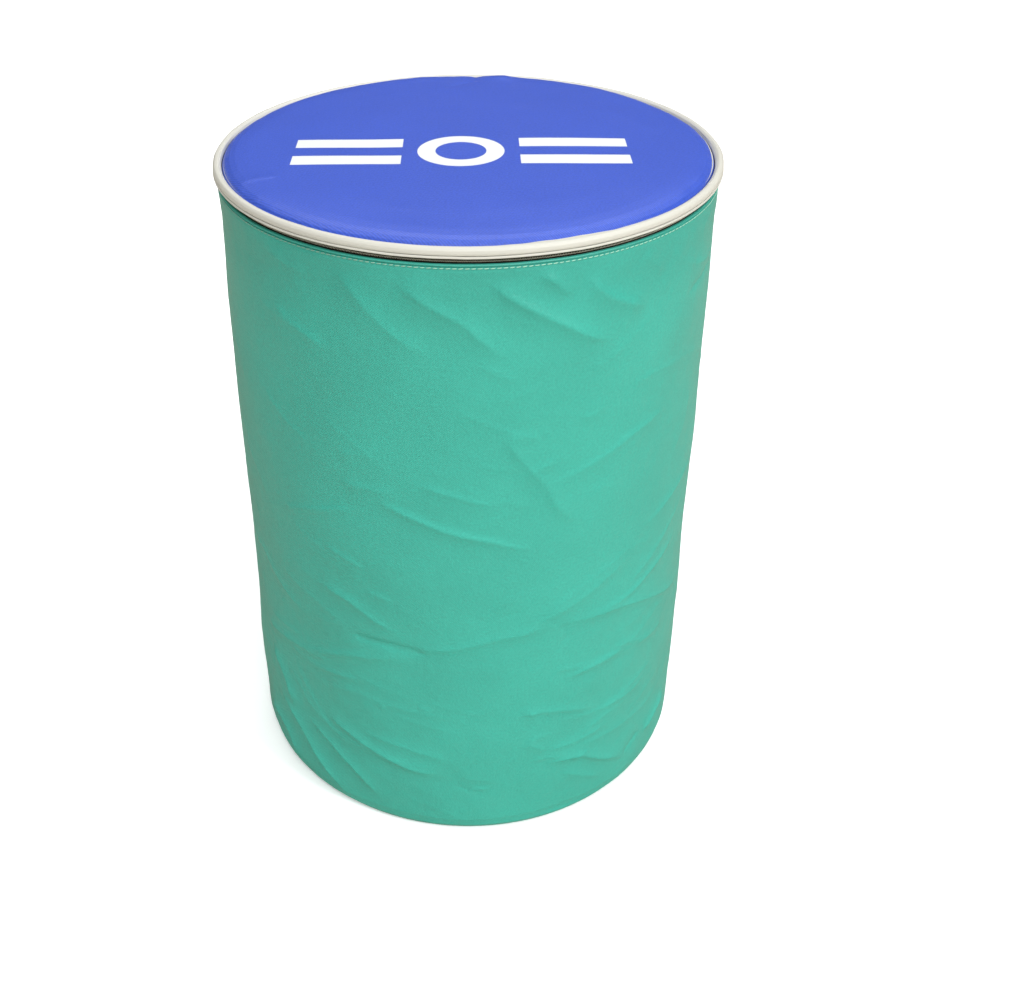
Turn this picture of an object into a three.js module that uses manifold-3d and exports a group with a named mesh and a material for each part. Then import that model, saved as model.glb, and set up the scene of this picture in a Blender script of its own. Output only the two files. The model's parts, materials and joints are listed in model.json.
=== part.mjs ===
// Pommel trainer drum: a padded, vinyl-covered round trainer on which gymnasts practise pommel circles.
// Millimetres, +Z up, origin on the floor under the drum's centre, front towards -Y, right towards +X.
// A zip runs round just below the white edge. At the rear a short vinyl hinge strip joins the round
// top to the sleeve, so the top opens backwards as a flap.
// Profiles are lists of [radius, z]. Angles round the drum are degrees from the front, positive
// towards +X.
import * as THREE from "three";
import { mergeVertices } from "three/addons/utils/BufferGeometryUtils.js";
import Module from "manifold-3d";

const wasm = await Module();
wasm.setup();

// ---------------------------------------------------------------- driving dimensions
const FACETS = 48; // round the outer parts
const DRUM_FACETS = 32;
const DEGREE = Math.PI / 180;

const SEAM_Z = 924; // seam between round top and rolled edge
const CROWN = 8; // rise of the padded top above that seam
const EDGE_R = 330; // outermost radius, at the lower lip of the white edge
const PANEL_R = 317.4; // outer face of the blue panel's turned-down edge
const PANEL_T = 1.5;
const CORD_R = 3.8; // filler cord in the rolled edge
const ROLL_R = 5.4; // outside radius of the white roll
const ROLL_CENTRE = [323.5, SEAM_Z - 4.6];
const GUARD_LIP = 2.4; // overhang of the zip guard's outer lip

const TAPE_R = 319.4; // inner face of both zip tapes
const TAPE_T = 0.6;
const TAPE_TOP_Z = SEAM_Z - 9.8;
const TAPE_LOW_Z = SEAM_Z - 27;
const CHAIN_Z = SEAM_Z - 16.6; // middle of the closed zip chain
const CHAIN_GAP = 0.8; // between the two rows of coil
const COIL_IN = 320.2;
const COIL_OUT = 322.6;
const COIL_H = 2.8; // height of each row
const ZIP_HALF = 170; // the zip runs this many degrees each side of the front
const STOP_OFFSET = 0.45; // degrees from the zip's end to the middle of a stop
const STOP_HALF = 0.3; // half a stop's width, degrees
const HINGE_MARGIN = 1.1; // degrees from the zip's end to the hinge strip
const SLIDER_AT = 168.3; // angle of the parked slider

const HEM_TOP = SEAM_Z - 20.8; // folded top edge of the sleeve
const SLEEVE_T = 1.5;
const SLEEVE_R = 325.8; // sleeve under the hem
const SLEEVE_LOW_R = 328.4; // sleeve near the floor, where it relaxes outwards
const SLEEVE_FOOT_R = SLEEVE_LOW_R - 14.5; // where the sleeve meets the floor
const UNDER_R = 300; // the sleeve turns under the drum to this radius

const DRUM_Z = 14.2; // underside of the steel drum
const DRUM_H = 876;
const DRUM_TOP = DRUM_Z + DRUM_H;
const DRUM_R = 286.5; // outside of the drum wall
const CHIME_R = 292.5;
const HOOP_R = 296.5; // rolling hoops
const WALL = 1.5;
const RECESS_Z = DRUM_TOP - 13.2; // floor of the lid's recess

const FOAM_IN = 297.2;
const FOAM_OUT = 322.2;
const PAD_R = 315;
const BOARD_R = 311; // floor board under drum and foam

const LUG_X = [18, 30]; // right clamp lug; the left one mirrors it
const LUG_Y = DRUM_R + 10; // inner face of the lugs
const LUG_DEPTH = 16;
const BOLT_Y = LUG_Y + 9;
const BOLT_Z = DRUM_TOP - 8;
const BOLT_HEX_R = 7.4; // corner radius of head and nut
const NUT_X = -33.7;

// ---------------------------------------------------------------- materials
const finish = (color, roughness, metalness = 0) => ({ color, roughness, metalness });
const FOAM_COLOR = 0xd9d3c0;
const ZINC_COLOR = 0xa9a9a6;
const BLUE_VINYL = finish(0x4f63dd, 0.45);
const GREEN_VINYL = finish(0x49b69c, 0.5);
const WHITE_VINYL = finish(0xe9e8e0, 0.5);
const FOAM = finish(FOAM_COLOR, 0.95);
const CORD = finish(FOAM_COLOR, 0.9);
const PLYWOOD = finish(0xc9a26b, 0.7);
const DRUM_STEEL = finish(0x2f4f7c, 0.4, 0.6);
const ZIP_METAL = finish(ZINC_COLOR, 0.35, 1);
const CLAMP_ZINC = finish(ZINC_COLOR, 0.4, 0.8);
const BOLT_ZINC = finish(ZINC_COLOR, 0.3, 0.9);
const ZIP_COIL = finish(0x8d8674, 0.5);
const ZIP_TAPE = finish(0x3a352c, 0.9);
const BLACK_RUBBER = finish(0x23252a, 0.8);

// ---------------------------------------------------------------- closed solids and booleans
function signedVolume(geometry) {
  const position = geometry.attributes.position;
  const index = geometry.index.array;
  const [a, b, c] = [0, 1, 2].map(() => new THREE.Vector3());
  let volume = 0;
  for (let i = 0; i < index.length; i += 3) {
    a.fromBufferAttribute(position, index[i]);
    b.fromBufferAttribute(position, index[i + 1]);
    c.fromBufferAttribute(position, index[i + 2]);
    volume += a.dot(b.cross(c)) / 6;
  }
  return volume;
}

// Welds a geometry into a closed solid whose faces point outwards.
function solid(geometry) {
  geometry.deleteAttribute("normal");
  geometry.deleteAttribute("uv");
  const welded = mergeVertices(geometry, 1e-4);
  if (signedVolume(welded) < 0) {
    const index = welded.index.array;
    for (let i = 0; i < index.length; i += 3) {
      [index[i + 1], index[i + 2]] = [index[i + 2], index[i + 1]];
    }
  }
  return welded;
}

function toManifold(geometry) {
  return new wasm.Manifold(
    new wasm.Mesh({
      numProp: 3,
      vertProperties: new Float32Array(geometry.attributes.position.array),
      triVerts: new Uint32Array(geometry.index.array),
    }),
  );
}

function toGeometry(manifold) {
  const { numVert, numProp, vertProperties, triVerts } = manifold.getMesh();
  const positions = new Float32Array(numVert * 3);
  for (let i = 0; i < numVert; i++) {
    positions.set(vertProperties.subarray(i * numProp, i * numProp + 3), i * 3);
  }
  const geometry = new THREE.BufferGeometry();
  geometry.setAttribute("position", new THREE.BufferAttribute(positions, 3));
  geometry.setIndex(new THREE.BufferAttribute(new Uint32Array(triVerts), 1));
  return geometry;
}

const combine = (operation) => (first, ...others) =>
  toGeometry(
    others.reduce((result, other) => result[operation](toManifold(other)), toManifold(first)),
  );
const subtract = combine("subtract");
const intersect = combine("intersect");
const unite = combine("add");

// ---------------------------------------------------------------- shapes
// A solid turned about Z from an open profile that starts and ends on the axis.
function turned(profile, facets = FACETS) {
  const points = profile.map(([radius, z]) => new THREE.Vector2(radius, z));
  return solid(new THREE.LatheGeometry(points, facets).rotateX(Math.PI / 2));
}

// A ring turned about Z from a profile that is closed here.
const ring = (profile, facets) => turned([...profile, profile[0]], facets);

const band = (inner, outer, low, high, facets) =>
  ring([[inner, low], [outer, low], [outer, high], [inner, high]], facets);

const disc = (radius, low, high, facets) =>
  turned([[0, low], [radius, low], [radius, high], [0, high]], facets);

const shift = (profile, radiusShift, zShift) =>
  profile.map(([radius, z]) => [radius + radiusShift, z + zShift]);

// An outline of [x, y] points extruded from z = 0 upwards.
function prism(outline, depth) {
  const shape = new THREE.Shape(outline.map(([x, y]) => new THREE.Vector2(x, y)));
  shape.closePath();
  return new THREE.ExtrudeGeometry(shape, { depth, bevelEnabled: false });
}

// A wedge of space between two angles, larger than the whole drum.
function wedge(from, to) {
  const reach = 600;
  const steps = Math.max(2, Math.ceil((to - from) / 20));
  const outline = [[0, 0]];
  for (let i = 0; i <= steps; i++) {
    const angle = (from + ((to - from) * i) / steps) * DEGREE;
    outline.push([reach * Math.sin(angle), -reach * Math.cos(angle)]);
  }
  return solid(prism(outline, 1200).translate(0, 0, -100));
}

// A box given by its [low, high] range on each axis.
function block([x0, x1], [y0, y1], [z0, z1]) {
  const box = new THREE.BoxGeometry(x1 - x0, y1 - y0, z1 - z0);
  return solid(box.translate((x0 + x1) / 2, (y0 + y1) / 2, (z0 + z1) / 2));
}

function put(parent, name, material, geometry) {
  geometry.computeVertexNormals();
  const mesh = new THREE.Mesh(geometry, new THREE.MeshStandardMaterial(material));
  mesh.name = name;
  parent.add(mesh);
}

const root = new THREE.Group();
const flap = new THREE.Group();
root.add(flap);

// ---------------------------------------------------------------- flap (round top)
// Upper face of the crowned top, from the axis to the seam.
const crown = shift(
  [
    [0, CROWN],
    [150, CROWN * 0.95],
    [240, CROWN * 0.8],
    [285, CROWN * 0.56],
    [305, CROWN * 0.27],
    [314, -0.2],
  ],
  0,
  SEAM_Z,
);

// The crown lowered by drop and drawn in by inset near its edge, listed from the edge to the axis.
const underCrown = (drop, inset) =>
  crown.map(([radius, z]) => [radius - (radius > 290 ? inset : 0), z - drop]).reverse();

// Blue panel: a thin crowned skin with its edge turned down into the seam.
put(
  flap,
  "top_panel",
  BLUE_VINYL,
  turned([
    ...crown,
    [PANEL_R, SEAM_Z - 3],
    [PANEL_R, SEAM_Z - 8],
    [PANEL_R - PANEL_T, SEAM_Z - 8],
    [PANEL_R - PANEL_T, SEAM_Z - 3.6],
    ...underCrown(PANEL_T, 0.9),
  ]),
);

// An arc in the roll's cross-section; 0 degrees points outwards.
function rollArc(radius, from, to, steps) {
  return Array.from({ length: steps + 1 }, (_, i) => {
    const angle = (from + ((to - from) * i) / steps) * DEGREE;
    return [
      ROLL_CENTRE[0] + radius * Math.cos(angle),
      ROLL_CENTRE[1] + radius * Math.sin(angle),
    ];
  });
}

// White rolled edge: a strip folded round a cord, open along its inner side.
const rollSection = [...rollArc(ROLL_R, -168, 168, 9), ...rollArc(CORD_R + 0.7, 166, -166, 7)];
put(flap, "edge_piping", WHITE_VINYL, ring(rollSection));
put(flap, "piping_cord", CORD, ring(rollArc(CORD_R, 0, 300, 5)));

// Narrow strip under the roll, ending in a small lip that overhangs the zip.
const guardInner = TAPE_R + TAPE_T + 0.4;
put(
  flap,
  "zip_guard_strip",
  WHITE_VINYL,
  ring([
    [guardInner, SEAM_Z - 11.4],
    [EDGE_R - GUARD_LIP, SEAM_Z - 11.4],
    [EDGE_R - GUARD_LIP, SEAM_Z - 12],
    [EDGE_R, SEAM_Z - 12],
    [EDGE_R, SEAM_Z - 9],
    [EDGE_R - 2, SEAM_Z - 8.6],
    [EDGE_R - GUARD_LIP, SEAM_Z - 10.5],
    [guardInner, SEAM_Z - 10.5],
  ]),
);

// ---------------------------------------------------------------- zip
const zipGap = wedge(ZIP_HALF, 360 - ZIP_HALF); // the rear arc with no zip
const upperRowZ = CHAIN_Z + CHAIN_GAP / 2; // underside of the upper row
const lowerRowZ = CHAIN_Z - CHAIN_GAP / 2; // top of the lower row

// One row of coil with its outer corners chamfered.
function coilRow(low, high) {
  const section = [
    [COIL_IN, low],
    [COIL_OUT - 0.6, low],
    [COIL_OUT, low + 0.7],
    [COIL_OUT, high - 0.7],
    [COIL_OUT - 0.6, high],
    [COIL_IN, high],
  ];
  return subtract(ring(section), zipGap);
}

// Crimped metal stop round tape and coil.
const zipStop = (angle, low, high) =>
  intersect(
    band(TAPE_R - 0.4, COIL_OUT + 0.2, low + 0.1, high - 0.1),
    wedge(angle - STOP_HALF, angle + STOP_HALF),
  );

// One side of the zip: tape, coil, and a stop past each end.
function zipSide(parent, side, tapeRange, coilRange) {
  const tape = band(TAPE_R, TAPE_R + TAPE_T, ...tapeRange);
  const stopAngle = ZIP_HALF + STOP_OFFSET;
  put(parent, `zip_tape_${side}`, ZIP_TAPE, subtract(tape, zipGap));
  put(parent, `zip_coil_${side}`, ZIP_COIL, coilRow(...coilRange));
  put(parent, `zip_stop_${side}_right`, ZIP_METAL, zipStop(stopAngle, ...coilRange));
  put(parent, `zip_stop_${side}_left`, ZIP_METAL, zipStop(-stopAngle, ...coilRange));
}
zipSide(flap, "upper", [upperRowZ, TAPE_TOP_Z], [upperRowZ, upperRowZ + COIL_H]);
zipSide(root, "lower", [TAPE_LOW_Z, lowerRowZ], [lowerRowZ - COIL_H, lowerRowZ]);

// Slider and pull tab are built at the front, with X along the zip and -Y outwards, then their
// groups are turned to the parked angle.
function parkedGroup() {
  const group = new THREE.Group();
  group.rotation.z = SLIDER_AT * DEGREE;
  root.add(group);
  return group;
}

// A flat plate between two distances from the axis; outline of [x, height above the chain].
const uprightPlate = (outline, inner, outer) =>
  solid(prism(outline, outer - inner).rotateX(Math.PI / 2).translate(0, -inner, CHAIN_Z));

const aboutChain = (halfHeight) => [CHAIN_Z - halfHeight, CHAIN_Z + halfHeight];

// Two plates joined by a post, an inward lip along each lower edge, and a bail outside.
function buildSlider() {
  const halfHeight = 3.9;
  const halfLength = 6.5;
  // wide at the -X end, tapering towards +X
  const outline = [
    [-halfLength, -halfHeight + 0.6],
    [-halfLength + 1, -halfHeight],
    [-1.5, -halfHeight],
    [halfLength - 1, -halfHeight + 0.5],
    [halfLength, -halfHeight + 1.1],
    [halfLength, halfHeight - 1.1],
    [halfLength - 1, halfHeight - 0.5],
    [-1.5, halfHeight],
    [-halfLength + 1, halfHeight],
    [-halfLength, halfHeight - 0.6],
  ];
  const postX = [-halfLength + 0.4, -halfLength + 3.4];
  const lipX = [-halfLength + 1, halfLength - 1.2];
  const lipZ = [CHAIN_Z - halfHeight, CHAIN_Z - halfHeight + 0.45];
  const bailZ = aboutChain(0.8);
  const bailLegY = [-326.6, -324.2];
  return unite(
    uprightPlate(outline, 323.1, 324.5),
    uprightPlate(outline, 316.7, 318),
    block(postX, [-323.3, -317.8], aboutChain(0.25)),
    block(lipX, [-323.3, -322.5], lipZ),
    block(lipX, [-318.4, -317.8], lipZ),
    block([-3.6, 3.6], [-327.6, -326.5], bailZ),
    block([-3.6, -2.5], bailLegY, bailZ),
    block([2.5, 3.6], bailLegY, bailZ),
  );
}
put(parkedGroup(), "zip_slider", ZIP_METAL, buildSlider());

// A flat tongue with a window, whose end bar sits under the bail, and a hole near its tip.
function buildPullTab() {
  const outerY = -326.15;
  const innerY = -324.95;
  const outline = [
    [-9, -3],
    [-24, -3],
    [-27.4, -1.6],
    [-28, 0],
    [-27.4, 1.6],
    [-24, 3],
    [-9, 3],
    [-0.6, 2.6],
    [-0.6, -2.6],
  ];
  const tongue = uprightPlate(outline, -innerY, -outerY);
  const bar = block([-0.6, 0.6], [outerY, innerY], aboutChain(2.6));
  const opening = block([-5.4, -0.6], [outerY - 1, innerY + 1], aboutChain(1.5));
  const hole = new THREE.CylinderGeometry(1.4, 1.4, 6, 16);
  hole.translate(-24.2, (outerY + innerY) / 2, CHAIN_Z);
  return subtract(unite(subtract(tongue, opening), bar), solid(hole));
}
put(parkedGroup(), "pull_tab", ZIP_METAL, buildPullTab());

// ---------------------------------------------------------------- sleeve, hinge, base
// Outer face of the sleeve, from the hem down to the floor.
const sleeveOuter = [
  [SLEEVE_R - 3.6, HEM_TOP],
  [SLEEVE_R - 1, HEM_TOP - 0.2],
  [SLEEVE_R, HEM_TOP - 1.8],
  [SLEEVE_R - 0.5, HEM_TOP - 4.2],
  [SLEEVE_R + 0.2, HEM_TOP - 9],
  [SLEEVE_R + 1, 600],
  [SLEEVE_R + 1.8, 300],
  [SLEEVE_LOW_R, 90],
  [SLEEVE_LOW_R - 0.3, 25],
  [SLEEVE_LOW_R - 2.6, 11],
  [SLEEVE_LOW_R - 8, 2],
  [SLEEVE_FOOT_R, 0],
];
// Inner face, from the turned-under edge back up to the thicker hem.
const sleeveInner = [
  [UNDER_R, 0],
  [UNDER_R, SLEEVE_T],
  [SLEEVE_FOOT_R, SLEEVE_T],
  [SLEEVE_LOW_R - 8.8, 3.5],
  [SLEEVE_LOW_R - 4, 11.8],
  [SLEEVE_LOW_R - 1.8, 25.5],
  [SLEEVE_LOW_R - SLEEVE_T, 90],
  [SLEEVE_R - SLEEVE_T + 0.8, 600],
  [SLEEVE_R - SLEEVE_T, HEM_TOP - 10],
  [SLEEVE_R - 5, HEM_TOP - 8],
  [SLEEVE_R - 5, HEM_TOP - 0.8],
];
put(root, "side_sleeve", GREEN_VINYL, ring([...sleeveOuter, ...sleeveInner]));

// Vertical lap strip over the sleeve's joint, at the rear, from below the hem to above the floor.
const lapRun = sleeveOuter.slice(4, 9);
const lapRing = ring([...shift(lapRun, 0.3, 0), ...shift(lapRun, 1.2, 0).reverse()]);
put(root, "rear_seam_strip", GREEN_VINYL, intersect(lapRing, wedge(177, 183)));

// Joins flap and sleeve where there is no zip.
const hingeStart = ZIP_HALF + HINGE_MARGIN;
const hingeRing = band(TAPE_R, TAPE_R + 1, TAPE_LOW_Z, SEAM_Z - 11.7);
put(root, "hinge_strip", WHITE_VINYL, intersect(hingeRing, wedge(hingeStart, 360 - hingeStart)));

// Anti-slip disc inside the turned-under sleeve.
put(root, "base_panel", BLACK_RUBBER, disc(UNDER_R - 0.3, 0, SLEEVE_T));

// ---------------------------------------------------------------- padding and floor board
put(root, "base_board", PLYWOOD, disc(BOARD_R, SLEEVE_T + 0.3, DRUM_Z - 0.3));

put(
  root,
  "top_foam_pad",
  FOAM,
  turned([
    [0, DRUM_TOP + 0.4],
    [PAD_R, DRUM_TOP + 0.4],
    [PAD_R, SEAM_Z - 4.4],
    ...underCrown(PANEL_T + 0.5, 2.2),
  ]),
);

// Foam round the drum, butt-jointed at the rear, with a notch there for the clamp bolt.
put(
  root,
  "side_foam_wrap",
  FOAM,
  subtract(
    ring([
      [FOAM_IN, DRUM_Z],
      [FOAM_OUT - 4, DRUM_Z],
      [FOAM_OUT, DRUM_Z + 24],
      [FOAM_OUT, DRUM_TOP + 0.1],
      [FOAM_IN, DRUM_TOP + 0.1],
    ]),
    block([-1.5, 1.5], [200, 400], [0, 1000]),
    block([-56, 56], [200, 400], [DRUM_TOP - 40, 1000]),
  ),
);

// ---------------------------------------------------------------- steel drum
const hoop = (z) => [
  [DRUM_R, z - 16],
  [HOOP_R, z - 5],
  [HOOP_R, z + 5],
  [DRUM_R, z + 16],
];
// Wall above the chime, with rolling hoops at its thirds and a slightly flared top rim.
const drumWall = [
  [DRUM_R, DRUM_Z + 21],
  ...hoop(DRUM_Z + DRUM_H / 3),
  ...hoop(DRUM_Z + (2 * DRUM_H) / 3),
  [DRUM_R, DRUM_TOP - 26],
  [DRUM_R + 2.4, DRUM_TOP - 12],
  [DRUM_R + 2.4, DRUM_TOP - 4.5],
];
const shellSection = [
  [CHIME_R, DRUM_Z],
  [CHIME_R, DRUM_Z + 15],
  ...drumWall,
  ...shift(drumWall, -WALL, 0).reverse(),
  [DRUM_R - WALL, DRUM_Z + 15.4],
  [CHIME_R - WALL, DRUM_Z + 12],
  [CHIME_R - WALL, DRUM_Z],
];
put(root, "drum_shell", DRUM_STEEL, ring(shellSection, DRUM_FACETS));

// Pressed bottom, its rim inside the chime.
const bottomRimR = CHIME_R - WALL - 1.8;
const bottomSection = [
  [0, DRUM_Z + 12],
  [DRUM_R - 12, DRUM_Z + 12],
  [DRUM_R - 5, DRUM_Z + 9],
  [DRUM_R - 3.4, DRUM_Z + 1],
  [bottomRimR, DRUM_Z + 1],
  [bottomRimR, DRUM_Z + 3],
  [DRUM_R - 2, DRUM_Z + 3],
  [DRUM_R - 4.4, DRUM_Z + 13.5],
  [0, DRUM_Z + 13.5],
];
put(root, "drum_bottom", DRUM_STEEL, turned(bottomSection, DRUM_FACETS));

// Pressed lid with a channelled rim that sits over the drum's mouth.
const lidSection = [
  [0, DRUM_TOP - 14.5],
  [DRUM_R - 11, DRUM_TOP - 14.5],
  [DRUM_R - 7, DRUM_TOP - 12.5],
  [DRUM_R - 5, DRUM_TOP - 1.5],
  [DRUM_R + 4.6, DRUM_TOP - 1.5],
  [DRUM_R + 4.6, DRUM_TOP - 8],
  [DRUM_R + 5.8, DRUM_TOP - 8],
  [DRUM_R + 5.8, DRUM_TOP - 0.4],
  [DRUM_R - 6.4, DRUM_TOP - 0.4],
  [DRUM_R - 8.6, DRUM_TOP - 11.4],
  [DRUM_R - 12, RECESS_Z],
  [0, RECESS_Z],
];
put(root, "drum_lid", DRUM_STEEL, turned(lidSection, DRUM_FACETS));

put(
  root,
  "lid_gasket",
  BLACK_RUBBER,
  band(DRUM_R - 1.6, DRUM_R + 3.6, DRUM_TOP - 4.2, DRUM_TOP - 1.8, DRUM_FACETS),
);

// ---------------------------------------------------------------- clamp
// Ring round the rims of lid and drum, split at the rear; measured from wall radius and drum top.
const clampSection = [
  [6.3, -0.2],
  [9.4, -1.6],
  [9.4, -14],
  [3.2, -15.6],
  [3.2, -14.2],
  [8, -12.8],
  [8, -2.6],
  [6.3, -1.6],
];
const clampRing = ring(shift(clampSection, DRUM_R, DRUM_TOP), DRUM_FACETS);
put(root, "clamp_ring", CLAMP_ZINC, subtract(clampRing, wedge(177.2, 182.8)));

// A cylinder or hexagon on the bolt's axis, centred at x.
function onBoltAxis(radius, length, x, sides = 16) {
  const rod = new THREE.CylinderGeometry(radius, radius, length, sides);
  return solid(rod.rotateZ(Math.PI / 2).translate(x, BOLT_Y, BOLT_Z));
}

function buildLug([x0, x1]) {
  const body = block([x0, x1], [LUG_Y, LUG_Y + LUG_DEPTH], [BOLT_Z - 6, BOLT_Z + 6]);
  return subtract(body, onBoltAxis(4.4, 40, (x0 + x1) / 2));
}
put(root, "clamp_lug_right", CLAMP_ZINC, buildLug(LUG_X));
put(root, "clamp_lug_left", CLAMP_ZINC, buildLug([-LUG_X[1], -LUG_X[0]]));

const shank = onBoltAxis(4, 80, -4);
const boltHead = onBoltAxis(BOLT_HEX_R, 5.5, 33.4, 6);
put(root, "clamp_bolt", BOLT_ZINC, unite(shank, boltHead));

const nutBody = onBoltAxis(BOLT_HEX_R, 6.5, NUT_X, 6);
put(root, "clamp_nut", BOLT_ZINC, subtract(nutBody, onBoltAxis(4.3, 20, NUT_X)));

// Plywood disc that fills the lid's recess.
put(
  root,
  "top_board",
  PLYWOOD,
  disc(DRUM_R - 13.5, RECESS_Z + 0.3, DRUM_TOP - 0.2, DRUM_FACETS),
);

export default root;
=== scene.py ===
"""Looks of the padded pommel trainer drum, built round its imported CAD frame.

The drum stands on the floor with its axis on Z: front -Y, right +X, round top upwards.
Sizes are millimetres unless a comment says metres; meshes are made in metres. Angles are
degrees about Z from the front, positive towards +X. Profiles are rows of (radius, z), some
with a corner radius as a third column.
"""
import json
import math

import bmesh
import bpy
import numpy as np
from mathutils import Matrix, Vector


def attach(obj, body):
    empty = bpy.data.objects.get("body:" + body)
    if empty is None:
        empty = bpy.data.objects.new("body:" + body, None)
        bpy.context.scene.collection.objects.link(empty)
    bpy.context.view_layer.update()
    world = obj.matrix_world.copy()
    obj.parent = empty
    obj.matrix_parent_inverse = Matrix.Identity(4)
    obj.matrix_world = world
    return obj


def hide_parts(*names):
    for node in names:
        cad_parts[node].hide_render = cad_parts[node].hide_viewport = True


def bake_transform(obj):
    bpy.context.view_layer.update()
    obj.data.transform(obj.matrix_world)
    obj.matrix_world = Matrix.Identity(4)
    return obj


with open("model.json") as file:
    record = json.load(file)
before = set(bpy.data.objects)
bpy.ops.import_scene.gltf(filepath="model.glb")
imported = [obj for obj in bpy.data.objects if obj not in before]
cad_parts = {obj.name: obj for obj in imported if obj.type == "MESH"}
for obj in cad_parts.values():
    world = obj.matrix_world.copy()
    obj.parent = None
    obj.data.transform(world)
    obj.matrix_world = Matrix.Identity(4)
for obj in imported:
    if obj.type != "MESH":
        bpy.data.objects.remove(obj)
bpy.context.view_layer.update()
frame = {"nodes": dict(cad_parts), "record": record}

MM = 0.001
SEAM = 924.0  # height of the seam plane of the round top
SLEEVE_TOP = SEAM - 27.0
CHAIN = SEAM - 16.6  # height of the zip's middle line
ZIP_HALF = 170.0  # the zip runs this far to each side of the front
SLIDER_ANGLE = 168.3
WRAP_R = 326.0  # radius at which angles are turned into lengths round the drum
ROUND = 2 * math.pi * WRAP_R
AXIS_R = 0.02  # discs start this far from the axis and are closed afterwards
BOARD_Z, DRUM_TOP = 14.2, 890.2  # foot and top of the steel drum


# ------------------------------------------------------------------ mesh helpers
def link_object(name, mesh):
    o = bpy.data.objects.new(name, mesh)
    bpy.context.scene.collection.objects.link(o)
    return o


def mesh_object(name, co, quads, uvs=None, extra=(), extra_uv=(), smooth=True, sharp=None):
    """co in mm, quads an (n, 4) array, extra a list of polygons with any number of corners."""
    me = bpy.data.meshes.new(name)
    co = np.asarray(co, np.float64) * MM
    me.vertices.add(len(co))
    me.vertices.foreach_set("co", co.astype(np.float32).ravel())
    quads = np.asarray(quads, np.int32).reshape(-1, 4)
    loops = np.concatenate([quads.ravel()] + [np.asarray(e, np.int32) for e in extra])
    starts = list(np.arange(len(quads)) * 4)
    at = len(quads) * 4
    for e in extra:
        starts.append(at)
        at += len(e)
    me.loops.add(len(loops))
    me.loops.foreach_set("vertex_index", loops)
    me.polygons.add(len(starts))
    me.polygons.foreach_set("loop_start", np.asarray(starts, np.int32))
    me.update(calc_edges=True)
    if uvs is not None:
        layer = me.uv_layers.new(name="UVMap")
        parts = [np.asarray(u, np.float32).reshape(-1, 2) for u in (uvs, *extra_uv)]
        layer.data.foreach_set("uv", np.concatenate(parts).ravel())
    me.validate()
    if smooth:
        me.polygons.foreach_set("use_smooth", np.ones(len(me.polygons), bool))
        if sharp is not None:
            me.set_sharp_from_angle(angle=math.radians(sharp))
    return link_object(name, me)


def from_seam(rows):
    """Profile rows whose heights are given from the seam plane."""
    return [(r, SEAM + z, *corner) for r, z, *corner in rows]


def fillet(profile, radius, steps, closed=True):
    """Rounds each corner of a profile, by its own radius or else by the common one."""
    p = [np.array(q[:2], float) for q in profile]
    radii = [q[2] if len(q) > 2 else radius for q in profile]
    n, out = len(p), []
    for i in range(n):
        if not closed and i in (0, n - 1):
            out.append(p[i])
            continue
        before, corner, after = p[i - 1], p[i], p[(i + 1) % n]
        u, v = before - corner, after - corner
        len_u, len_v = np.linalg.norm(u), np.linalg.norm(v)
        u, v = u / len_u, v / len_v
        half = math.acos(float(np.clip(u @ v, -1, 1))) / 2
        if radii[i] <= 0 or half > math.radians(86):
            out.append(corner)
            continue
        cut = min(radii[i] / math.tan(half), len_u * 0.45, len_v * 0.45)
        start, end = corner + u * cut, corner + v * cut
        for k in range(steps + 1):
            t = k / steps
            out.append((1 - t) ** 2 * start + 2 * t * (1 - t) * corner + t * t * end)
    return np.array(out)


def dense(profile, step, closed=True):
    """Adds points so that no stretch of a profile is longer than step."""
    p = np.asarray(profile, float)
    out = []
    n = len(p)
    for i in range(n if closed else n - 1):
        a, b = p[i], p[(i + 1) % n]
        k = max(1, int(math.ceil(np.linalg.norm(b - a) / step)))
        out += [a + (b - a) * j / k for j in range(k)]
    if not closed:
        out.append(p[-1])
    return np.array(out)


def ring(count):
    """Angles of a full turn."""
    return np.linspace(-180, 180, count, endpoint=False)


def arc(count, start, end):
    return np.linspace(start, end, count + 1)


def on_circle(radius, angle, z):
    """Point or points at an angle in radians."""
    return np.stack([radius * np.sin(angle), -radius * np.cos(angle), z], -1)


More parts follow.
